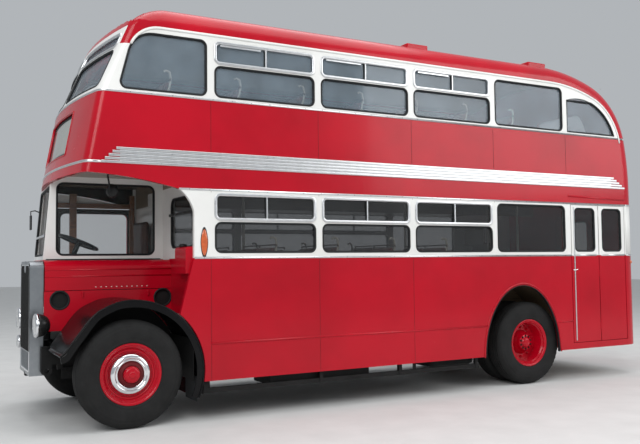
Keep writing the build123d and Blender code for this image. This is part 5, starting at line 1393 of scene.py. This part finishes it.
def upper_rear_window():
    """Rubber round the rear window of the upper deck, found on the dome itself."""
    laid = []
    for y, z in split_line(rounded_box(-0.432, 0.432, 3.196, 3.614, r=0.077)):
        origin, way = (-OUTSIDE, y, z), (1, 0, 0)
        laid.append(on_mesh("roof", origin, way) or on_mesh("upper_rear_panel", origin, way))
    section = [
        (0.006, -0.002), (0.005, 0.003), (0.0, 0.005), (-0.014, 0.003), (-0.017, -0.006), (-0.014, -0.010),
    ]
    if all(laid):
        sweep("upper_rear_gasket", [framed(laid)], section, GASKET)


def panel_joints():
    """Covered joints between body panels."""
    gap = 0.012
    spans = []
    for side in SIDES:
        for i in range(5):
            x = FIRST_PILLAR - i * BAY
            joints = [(0.0016, 2.60, UPPER_WAIST_Z - gap), (0.0012, LOWER_ROW[2] + gap, CANT_Z - gap)]
            if i < 3 or (i == 4 and side < 0):
                joints.append((0.0016, SKIRT_LINE_Z + gap, WAIST_Z - gap))
                joints.append((0.0016, SKIRT_Z + 0.004, SKIRT_LINE_Z - gap))
            for half, z0, z1 in joints:
                spans.append(side_span(side, x - half, x + half, HALF - 0.002, HALF + 0.0014, z0, z1))
    boxes("panel_joints", spans, SEAM_AND_WELL_SHADE, bevel=0)


def arch_line(side, spread):
    """Frames over a rear wheel arch, outside or inside its edge by the spread."""
    frames = []
    for k in range(49):
        a = math.radians(-1 + 182 * k / 48)
        x = ARCH_X + (ARCH_A + spread) * math.cos(a)
        z = SKIRT_Z + 0.004 + (ARCH_B + spread) * math.sin(a)
        away = Vector((x - ARCH_X, 0, (z - SKIRT_Z) * (ARCH_A / ARCH_B) ** 2)).normalized()
        frames.append((Vector((x, side * HALF, z)), away, Vector((0, side, 0))))
    return frames


def rear_arches():
    """Beads and rubbers round the rear wheel arches."""
    rubber_edge = [(0.0, -0.03), (0.0, 0.004), (-0.006, 0.006), (-0.010, 0.003), (-0.010, -0.03)]
    for name, spread, section, finish in (
        ("arch_beads", 0.016, half_round(0.022, 0.008), RED),
        ("arch_rubbers", -0.003, rubber_edge, GASKET),
    ):
        sweep(name, [arch_line(side, spread) for side in SIDES], section, finish, closed=False)


platform_doors()
rear_white()
emergency_door()
rear_mouldings()
rear_fittings()
upper_rear_window()
panel_joints()
rear_arches()


# Wheels

# Half of a bias-ply bus tyre from bead to crown, as (out, radius) pairs
TYRE_PROFILE = [
    (0.086, 0.279), (0.094, 0.284), (0.103, 0.291), (0.108, 0.298), (0.1125, 0.303), (0.1135, 0.308),
    (0.1125, 0.313), (0.117, 0.326), (0.122, 0.350), (0.1245, 0.378), (0.1240, 0.404), (0.1225, 0.416),
    (0.1230, 0.420), (0.1215, 0.424), (0.1185, 0.437), (0.1170, 0.441), (0.1175, 0.445), (0.1130, 0.456),
    (0.1080, 0.468), (0.1015, 0.480), (0.0935, 0.490), (0.0860, 0.4955), (0.0710, 0.499), (0.0695, 0.489),
    (0.0600, 0.489), (0.0585, 0.5005), (0.0370, 0.502), (0.0355, 0.491), (0.0270, 0.491), (0.0255, 0.5028),
    (0.0060, 0.504), (0.0048, 0.493),
]

# Turned parts of the wheels, also as (out, radius) pairs
RIM_LIP = [(0.088, 0.284), (0.100, 0.289), (0.1045, 0.285), (0.103, 0.274), (0.093, 0.262), (0.080, 0.256)]
DISC_STEP = [(0.052, 0.236), (0.060, 0.234), (0.0645, 0.228), (0.064, 0.220), (0.058, 0.212), (0.052, 0.210)]
HUB_WELL = [(0.110, 0.080), (0.1145, 0.080), (0.1145, 0.0905), (0.090, 0.1185), (0.086, 0.1185)]
NUT_RING = [
    (0.050, 0.204), (0.058, 0.2045), (0.072, 0.199), (0.087, 0.188), (0.099, 0.174),
    (0.1045, 0.163), (0.105, 0.155), (0.100, 0.147), (0.095, 0.143), (0.0985, 0.140),
    (0.0995, 0.132), (0.095, 0.123), (0.086, 0.115), (0.080, 0.117),
]
HUB_CAP = [
    (0.111, 0.0), (0.111, 0.078), (0.116, 0.0785), (0.130, 0.076), (0.141, 0.068), (0.1475, 0.055),
    (0.150, 0.034), (0.151, 0.031), (0.157, 0.029), (0.1585, 0.024), (0.1585, 0.0),
]
REAR_HUB = [
    (-0.055, 0.0), (-0.055, 0.135), (-0.048, 0.138), (-0.020, 0.118), (0.020, 0.098), (0.034, 0.096),
    (0.038, 0.090), (0.038, 0.066), (0.046, 0.062), (0.060, 0.052), (0.066, 0.036), (0.067, 0.0),
]
FRONT_WHEEL = (
    # The hub well takes the dark seam red as painted shade for its depth; the real well is red like the wheel
    ("well", HUB_WELL, SEAM_AND_WELL_SHADE),
    ("nut_ring", NUT_RING, CHROME),
    ("hub_cap", HUB_CAP, RED),
    ("rim_lip", RIM_LIP, RED),
    ("disc_step", DISC_STEP, RED),
)
REAR_WHEEL = (("hub", REAR_HUB), ("rim_lip", RIM_LIP))


def tyre_piece(name, centres, body, nodes):
    """Tyres of one body with ribs, shoulder blocks and a bead line."""
    outline = TYRE_PROFILE + [(-along, r) for along, r in reversed(TYRE_PROFILE)]
    steps = 112
    shells = []
    for x, y, z in centres:
        rings = []
        for i in range(steps):
            a = 2 * math.pi * i / steps
            ring = []
            for along, r in outline:
                if i % 2 and 0.470 < r < 0.4965 and abs(along) > 0.08:
                    r -= 0.007
                ring.append((x + r * math.cos(a), y + along, z + r * math.sin(a)))
            rings.append(ring)
        shells.append(rings)
    piece = plain_piece(name, *skinned(shells), TYRE, body, smooth=True)
    piece.data.set_sharp_from_angle(angle=math.radians(42))
    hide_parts(*nodes)


def nuts(name, centre, side, radius, out, finish, body, count=10):
    """Hexagon nuts with studs round a wheel."""
    shells = []
    for n in range(count):
        a = 2 * math.pi * (n + 0.5) / count
        x, z = centre[0] + radius * math.cos(a), centre[2] + radius * math.sin(a)
        flats = [a + math.pi * k / 3 for k in range(6)]
        for r, y0, y1 in ((0.0165, out - 0.002, out + 0.020), (0.0085, out + 0.018, out + 0.032)):
            ring = [(x + r * math.cos(b), z + r * math.sin(b)) for b in flats]
            shells.append([[(p, centre[1] + side * y, q) for p, q in ring] for y in (y0, y1)])
    plain_piece(name, *skinned(shells, closed=False), finish, body, bevel=0.0015)


def wheels():
    """Tyres, nut rings, hub caps and nuts."""
    for side, hand in HANDS:
        body = "front_wheel_%s_body" % hand
        centre = (AXLE_F, side * FRONT_TRACK_Y, TYRE_R)
        tyre_piece("tyre_front_" + hand, [centre], body, ["front_tyre_" + hand])
        for label, profile, finish in FRONT_WHEEL:
            line = [(side * a, r) for a, r in profile]
            turned("front_%s_%s" % (label, hand), line, centre, finish, body, steps=72)
        body = "rear_wheels_%s_body" % hand
        centre = (AXLE_R, side * REAR_OUTER_Y, TYRE_R)
        inner = (AXLE_R, side * (REAR_OUTER_Y - TWIN_PITCH), TYRE_R)
        tyre_piece("tyres_rear_" + hand, [centre, inner], body, ["rear_tyres_" + hand])
        for label, profile in REAR_WHEEL:
            turned("rear_%s_%s" % (label, hand), [(side * a, r) for a, r in profile], centre, RED, body)
        nuts("rear_nuts_" + hand, centre, side, 0.180, -0.056, RED, body)
        nuts("rear_hub_bolts_" + hand, centre, side, 0.079, 0.018, UNDER, body)


wheels()


# Wings, bulkhead, underside and mirrors

# Toe of a front wing and of its lining, as pairs from the hub of the wheel
WING_TOE = (
    (0.215, 0.646), (0.312, 0.598), (0.408, 0.506), (0.470, 0.421),
    (0.515, 0.364), (0.557, 0.301), (0.597, 0.251), (0.640, 0.214),
)
LINING_TOE = (
    (0.205, 0.626), (0.300, 0.580), (0.394, 0.492), (0.455, 0.408),
    (0.500, 0.350), (0.500, -0.09), (-0.600, -0.09),
)


def wing_beads():
    """Beads along the outer edges of the wings, from the rear foot over the wheel to the toe."""
    hub_z = TYRE_R - 0.004
    line = arc((AXLE_F, hub_z), 0.690, 202, 82, 40) + [(AXLE_F + a, hub_z + b) for a, b in WING_TOE]
    bars("wing_beads", [[(x, side * 1.128, z) for x, z in line] for side in SIDES], 0.0085, BLACK, sides=10)


def bulkhead_trim():
    """Window rubber and rail of the saloon bulkhead, the filler cap, and the rubber behind the bonnet."""
    pane = rounded_box(0.325, 1.055, 1.69, 2.208, r=0.09)
    frames = ring_frames(pane, lambda y, z: (BULKHEAD_X, y, z), Vector((1, 0, 0)))
    sweep("bulkhead_gasket", [frames], GASKET_SECTION, GASKET)
    rail = (BULKHEAD_X + 0.002, BULKHEAD_X + 0.018, 0.30, 1.08, 2.022, 2.050)
    boxes("bulkhead_window_rail", [rail], HORN, bevel=0.004)
    cap = [(0.0, 0.0), (0.0, 0.036), (0.018, 0.040), (0.030, 0.034), (0.036, 0.0)]
    turned("filler_cap", cap, (BULKHEAD_X + 0.052, 0.875, 1.688), HORN, steps=28, axis="Z")
    sill = (BULKHEAD_X + 0.03, AXLE_F + 0.60, CAB_NEAR_Y + 0.001, CAB_NEAR_Y + 0.012, 1.575, 1.588)
    boxes("bonnet_rear_rubber", [sill], GASKET)


def underside():
    """Battery box, air reservoirs, straps of the life rails and mud flaps."""
    boxes("battery_box", [(0.42, 1.62, 0.62, 1.03, 0.275, 0.50)], UNDER, bevel=0.012)
    boxes("air_reservoirs", [(-1.06, -0.42, 0.60, 1.02, 0.30, 0.56)], UNDER, bevel=0.05)
    places = (2.30, 1.05, -0.15, -1.02)
    straps = [side_span(side, x - 0.02, x + 0.02, 1.066, 1.080, 0.30, 0.44) for x in places for side in SIDES]
    boxes("life_rail_straps", straps, UNDER)
    for side, hand in HANDS:
        flap = side_span(side, BULKHEAD_X - 0.012, BULKHEAD_X - 0.004, 0.775, 1.105, 0.20, 0.44)
        boxes("mud_flap_" + hand, [flap], GASKET)


def wheel_wells():
    """Linings inside the front wings and behind the front wheels."""
    lining = arc((0, 0), 0.672, 196, 80, 29) + list(LINING_TOE)
    for side, hand in HANDS:
        rings = []
        for y in (BONNET_HALF + 0.006, BONNET_HALF + 0.010):
            rings.append([(AXLE_F + a, side * y, TYRE_R + b) for a, b in lining])
        plain_piece("wheel_well_" + hand, *skinned([rings], closed=False), UNDER)
        back = side_span(side, BULKHEAD_X + 0.016, BULKHEAD_X + 0.022, 0.372, 1.090, 0.40, 0.80)
        boxes("wheel_well_back_" + hand, [back], UNDER, bevel=0)


def roof_vents():
    """Covers of the two roof vents, standing on the roof."""
    vents = []
    for x in (-0.37, -2.26):
        found = on_mesh("roof", (x, 0.86, OUTSIDE), -UP)
        if found:
            z = found[0].z
            vents.append((x - 0.15, x + 0.15, 0.77, 0.94, z - 0.04, min(z + 0.045, CAD_BOX[1][2] - 0.003)))
    boxes("roof_vents", vents, RED, bevel=0.012)


def mirrors():
    """Round mirror on a bent arm under the canopy, turned to the driver, and the offside one."""
    centre = Vector((AXLE_F + 0.110, 0.780, 2.235))
    turn = Matrix.Rotation(math.radians(38), 4, "Z") @ Matrix.Rotation(math.radians(8), 4, "Y")
    bowl = [
        (0.0, 0.0), (0.0, 0.060), (-0.004, 0.064), (-0.003, 0.069), (0.004, 0.070),
        (0.016, 0.066), (0.027, 0.050), (0.033, 0.026), (0.034, 0.0),
    ]
    glass = [(-0.001, 0.0), (-0.001, 0.061), (0.002, 0.061), (0.002, 0.0)]
    shown = None
    for label, profile, finish in (("bowl", bowl, HORN), ("glass", glass, CHROME)):
        piece = turned("canopy_mirror_" + label, profile, (0, 0, 0), finish, steps=40, axis="X")
        piece.data.transform(Matrix.Translation(centre) @ turn)
        shown = shown or piece
    back = centre + turn.to_3x3() @ Vector((0.030, 0, 0))
    arm = [(AXLE_F + 0.160, 0.830, CANOPY_Z - 0.004), (AXLE_F + 0.165, 0.835, 2.37)]
    arm += [back + Vector((0.012, 0.01, 0.07)), back]
    bars("canopy_mirror_arm", [arm], 0.009, HORN, sides=10)
    foot = (AXLE_F + 0.135, AXLE_F + 0.185, 0.805, 0.855, CANOPY_Z - 0.012, CANOPY_Z - 0.002)
    boxes("canopy_mirror_foot", [foot], HORN)
    bend = ((0.50, -1.090, 2.135), (0.545, -1.095, 2.155), (0.592, -1.095, 2.145), (0.592, -1.095, 1.99))
    bars("offside_mirror_arm", [[(AXLE_F + x, y, z) for x, y, z in bend]], 0.007, HORN, sides=10)
    boxes("offside_mirror", [(AXLE_F + 0.583, AXLE_F + 0.601, -1.140, -1.050, 1.93, 2.10)], HORN, bevel=0.008)
    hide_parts("mirrors")


wing_beads()
bulkhead_trim()
underside()
wheel_wells()
roof_vents()
mirrors()


# Saloons


def blown_up(block, push):
    """Run cloth under pressure over a block, with no corner moved further than push."""
    rest = [v.co.copy() for v in block.data.vertices]
    cloth = block.modifiers.new("cloth", "CLOTH")
    cloth.settings.use_pressure = True
    cloth.settings.uniform_pressure_force = 4.0
    cloth.settings.effector_weights.gravity = 0.0
    cloth.settings.quality = 4
    scene = bpy.context.scene
    for step in range(1, 21):
        scene.frame_set(step)
    bake(block)
    scene.frame_set(1)
    for v, was in zip(block.data.vertices, rest):
        move = v.co - was
        if move.length > push:
            v.co = was + move * (push / move.length)


def stuffed(name, size, push):
    """Crowned pad blown up from a slightly smaller box with a cloth run; flat below."""
    x, y, z = (0.5 * s - 0.008 for s in size)
    bpy.ops.mesh.primitive_cube_add(size=2)
    block = bpy.context.active_object
    block.name = name
    for v in block.data.vertices:
        v.co = Vector((v.co.x * x, v.co.y * y, v.co.z * z))
    soft = block.modifiers.new("corners", "BEVEL")
    soft.width = 0.022
    soft.segments = 3
    grid = block.modifiers.new("grid", "REMESH")
    grid.mode = "VOXEL"
    grid.voxel_size = 0.013
    bake(block)
    blown_up(block, push)
    for v in block.data.vertices:
        v.co.z = max(v.co.z, -0.5 * size[2])
    mesh = block.data.copy()
    shade_smooth(mesh)
    bpy.data.objects.remove(block)
    return mesh


def pads(name, mesh, places, finish):
    """Copies of a stuffed pad joined into one padded piece; each place is a matrix."""
    whole = bmesh.new()
    for place in places:
        part = mesh.copy()
        part.transform(place)
        whole.from_mesh(part)
        bpy.data.meshes.remove(part)
    bmesh.ops.recalc_face_normals(whole, faces=whole.faces)
    joined = bpy.data.meshes.new(name)
    whole.to_mesh(joined)
    whole.free()
    joined.materials.clear()
    joined.materials.append(finish)
    shade_smooth(joined)
    piece = fit_out(in_scene(name, joined))
    return piece


def seat_places():
    """Seats of both decks: rear foot of the squab, middle and width of one place, floor."""
    pitch, lower_w, upper_w = 0.730, 0.430, 0.4065
    lower, upper = [], []
    for i in range(4):
        x = AXLE_F - 1.450 - pitch * i
        lower += [(x, side * (0.443 + lower_w * k), lower_w, FLOOR_Z) for side in SIDES for k in (0, 1)]
    for i in range(7):
        x = AXLE_F - 0.330 - pitch * i
        upper += [(x, upper_w * (k + 0.5) - 0.538, upper_w, DECK_Z) for k in range(4)]
    return lower, upper


def benches():
    """Padded cushions and squabs with piping, top rails and grab handles."""
    form_w = 0.430
    cushion = stuffed("cushion_form", (0.325, 0.426, 0.108), 0.012)
    squab = stuffed("squab_form", (0.078, 0.426, 0.505), 0.012)
    tilt = Matrix.Rotation(-0.045, 4, "Y")
    lean = Matrix.Rotation(-math.atan2(0.070, 0.510), 4, "Y")
    hook = (
        (0.06, 0.66), (-0.005, 0.76), (-0.040, 0.86), (-0.052, 0.94),
        (-0.040, 1.00), (-0.005, 1.015), (0.02, 1.00),
    )
    cord = ((0.105, 0.012, 0.425), (0.25, 0.008, 0.432), (0.40, 0.012, 0.425))
    for deck, places in zip(("lower", "upper"), seat_places()):
        seats, backs, rails, grips, piping = [], [], [], [], []
        for x, y, width, floor in places:
            half = width / 2
            scale = Matrix.Diagonal((1, width / form_w, 1, 1))
            seats.append(Matrix.Translation((x + 0.252, y, floor + 0.364)) @ tilt @ scale)
            backs.append(Matrix.Translation((x + 0.004, y, floor + 0.675)) @ lean @ scale)
            rail = ((0.004 - half, 0.915), (0.01 - half, 0.935), (half - 0.01, 0.935), (half - 0.004, 0.915))
            rails.append([(x - 0.045, y + a, floor + b) for a, b in rail])
            if abs(y) + half > 1.0:
                wall = math.copysign(abs(y) + half - 0.015, y)
                grips.append([(x + a, wall, floor + b) for a, b in hook])
            piping.append([(x + a, y - half + b, floor + c) for a, b, c in cord])
        pads("%s_cushions" % deck, cushion, seats, CLOTH)
        shown = pads("%s_squabs" % deck, squab, backs, CLOTH)
        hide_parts("%s_seats" % deck)
        bars("%s_seat_rails" % deck, rails, 0.010, HIDE, sides=6)
        bars("%s_seat_grips" % deck, grips, 0.012, CEILING)
        bars("%s_seat_piping" % deck, piping, 0.004, HIDE, sides=5)


def driver_place():
    """Driver's padded seat on its box."""
    cushion = stuffed("driver_cushion_form", (0.410, 0.470, 0.108), 0.014)
    back = stuffed("driver_back_form", (0.078, 0.470, 0.475), 0.014)
    x = AXLE_F - 0.330
    low = pads("driver_cushion", cushion, [Matrix.Translation((x, -0.56, 1.495))], HIDE)
    pads("driver_back", back, [Matrix.Translation((x - 0.212, -0.56, 1.79))], HIDE)
    boxes("driver_seat_box", [(x - 0.18, x + 0.18, -0.78, -0.34, 1.25, 1.438)], UNDER, bevel=0.004)
    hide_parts("driver_seat")


def upper_ceiling():
    """Pale arched lining under the roof, closed round its edge."""
    columns, rows, thickness = 16, 20, 0.012
    rear, length = -2.85, AXLE_F - 0.15 + 2.85

    def lining(across, along):
        y = 2.10 * across - 1.05
        return (rear + length * along, y, 3.790 + 0.16 * (1 - (y / 1.06) ** 2))

    low, quads = sheet(rows, columns, lining)
    span, count = columns + 1, len(low)
    rim = [(a, a + 1) for r in (0, rows) for a in range(r * span, r * span + columns)]
    rim += [(a, a + span) for c in (0, columns) for a in range(c, rows * span, span)]
    faces = quads + [tuple(count + a for a in reversed(quad)) for quad in quads]
    faces += [(a, b, count + b, count + a) for a, b in rim]
    verts = low + [(x, y, z + thickness) for x, y, z in low]
    plain_piece("upper_ceiling", verts, faces, CEILING, smooth=True)


def linings():
    """Pale ceilings and grab poles of both decks."""
    boxes("lower_ceiling", [(-3.50, BULKHEAD_X - 0.05, -0.56, 1.095, 2.322, 2.3335)], CEILING)
    upper_ceiling()
    places = ((1.55, 0.205), (-0.66, 0.205), (-2.45, 0.30), (-2.45, -0.30))
    poles = [[(x, y, FLOOR_Z), (x, y, 2.322)] for x, y in places]
    bars("saloon_poles", poles, 0.016, CEILING, sides=12)


benches()
driver_place()
linings()


# Roof, made last because other pieces are laid on the CAD's roof before it is replaced


def cut_finely(shell, from_x):
    """Cut the front of a roof into a grid, so that its flat top can bend."""
    cuts = [((2.70 + 0.02 * k, 0, 0), (1, 0, 0)) for k in range(36)]
    cuts += [((0, -1.12 + 0.04 * k, 0), (0, 1, 0)) for k in range(57)]
    for spot, normal in cuts:
        near = [f for f in shell.faces if max(v.co.x for v in f.verts) > from_x]
        parts = near + list({e for f in near for e in f.edges}) + list({v for f in near for v in f.verts})
        bmesh.ops.bisect_plane(shell, geom=parts, plane_co=spot, plane_no=normal, dist=SAME_SPOT)
    shell.normal_update()


def crown_and_crease(skins, y, from_x):
    """Height of the roof behind its front crease, and where the crease is, at one breadth."""
    top = skins.ray_cast(Vector((from_x - 0.05, y, OUTSIDE)), -UP)[0]
    edge = skins.ray_cast(Vector((OUTSIDE, y, top.z - 0.004)), Vector((-1, 0, 0)))[0] if top else None
    return (top.z, edge.x) if edge else None


def bent_down(shell, from_x):
    """Bend the roof's front down to a round edge, both skins, and give back the corners at its lip."""
    reach, bend, thickness, from_z = 0.26, 0.52, 0.04, 3.85
    rows, lip, before = {}, [], BVHTree.FromBMesh(shell)
    for vert in shell.verts:
        if vert.co.x < from_x or vert.co.z < from_z:
            continue
        key = round(vert.co.y, 3)
        if key not in rows:
            rows[key] = crown_and_crease(before, key, from_x)
        if not rows[key]:
            continue
        crown, crease = rows[key]
        run = vert.co.x - (crease - reach)
        if run > 0:
            cap = crown - bend + math.sqrt(max(bend * bend - run * run, 0.0))
            if vert.normal.z < -0.05:
                cap -= thickness
            vert.co.z = min(vert.co.z, cap)
            if run > reach - 0.02:
                lip.append(vert)
    return lip


def eased_roof():
    """The roof with the crease over its front windows beaten round."""
    from_x, sharp_from = 2.65, 0.45
    mesh = frame["nodes"]["roof"].data.copy()
    mesh.name = "eased_roof"
    shell = bmesh.new()
    shell.from_mesh(mesh)
    bmesh.ops.remove_doubles(shell, verts=shell.verts, dist=SAME_SPOT)
    cut_finely(shell, from_x)
    lip = bent_down(shell, from_x)
    for _ in range(3):
        bmesh.ops.smooth_vert(shell, verts=lip, factor=0.5, use_axis_z=True)
    bmesh.ops.recalc_face_normals(shell, faces=shell.faces)
    for edge in shell.edges:
        edge.smooth = len(edge.link_faces) == 2 and edge.calc_face_angle(0) < sharp_from
    shell.to_mesh(mesh)
    shell.free()
    shade_smooth(mesh)
    piece = in_scene("eased_roof", mesh)
    even = piece.modifiers.new("even", "WEIGHTED_NORMAL")
    even.keep_sharp = True
    bake(piece)
    fit_out(piece)
    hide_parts("roof")


eased_roof()


# Studio


def soft_lamps():
    """Soft lamps over and beside the bus."""
    for name, at, aim, size, power in (
        ("key", (9, 10, 9), (0, 0, 2), 8, 1000),
        ("fill", (-9, 9, 7), (-1, 0, 2), 8, 600),
        ("sky", (0, 0, 12), (0, 0, 0), 12, 900),
    ):
        lamp = bpy.data.lights.new(name, "AREA")
        lamp.size = size
        lamp.energy = power
        holder = in_scene(name, lamp)
        holder.location = at
        holder.rotation_euler = (Vector(aim) - Vector(at)).to_track_quat("-Z", "Y").to_euler()


def photo_camera():
    """The photograph's camera."""
    lens = bpy.data.cameras.new("camera")
    lens.sensor_width = SENSOR
    lens.lens = CAMERA_FOCAL_PX * SENSOR / PHOTO_W
    lens.clip_end = 200
    level = math.cos(CAMERA_PITCH)
    ahead = Vector((level * math.cos(CAMERA_YAW), level * math.sin(CAMERA_YAW), math.sin(CAMERA_PITCH)))
    right = ahead.cross(UP).normalized()
    up = right.cross(ahead)
    side = math.cos(CAMERA_ROLL) * right + math.sin(CAMERA_ROLL) * up
    top = -math.sin(CAMERA_ROLL) * right + math.cos(CAMERA_ROLL) * up
    camera = in_scene("camera", lens)
    turn = Matrix((side, top, -ahead)).transposed()
    camera.matrix_world = Matrix.Translation(CAMERA_AT) @ turn.to_4x4()
    bpy.context.scene.camera = camera


def studio():
    """Pale floor and sky, with the lamps and the camera."""
    world = bpy.data.worlds.new("studio")
    bpy.context.scene.world = world
    world.use_nodes = True
    sky = world.node_tree.nodes["Background"]
    sky.inputs["Color"].default_value = (0.80, 0.84, 0.88, 1)
    sky.inputs["Strength"].default_value = 0.55
    f = Finish("studio_floor")
    f.colour(f.ramp(f.noise(2.5, detail=5), (0.62, 0.62, 0.61), (0.68, 0.68, 0.67)))
    f.set(Roughness=0.75)
    bpy.ops.mesh.primitive_plane_add(size=90, location=(0, -8, 0))
    floor = bpy.context.active_object
    floor.name = "studio_floor"
    floor.data.materials.append(f.material)
    soft_lamps()
    photo_camera()
    bpy.context.scene.view_settings.view_transform = "Standard"


studio()
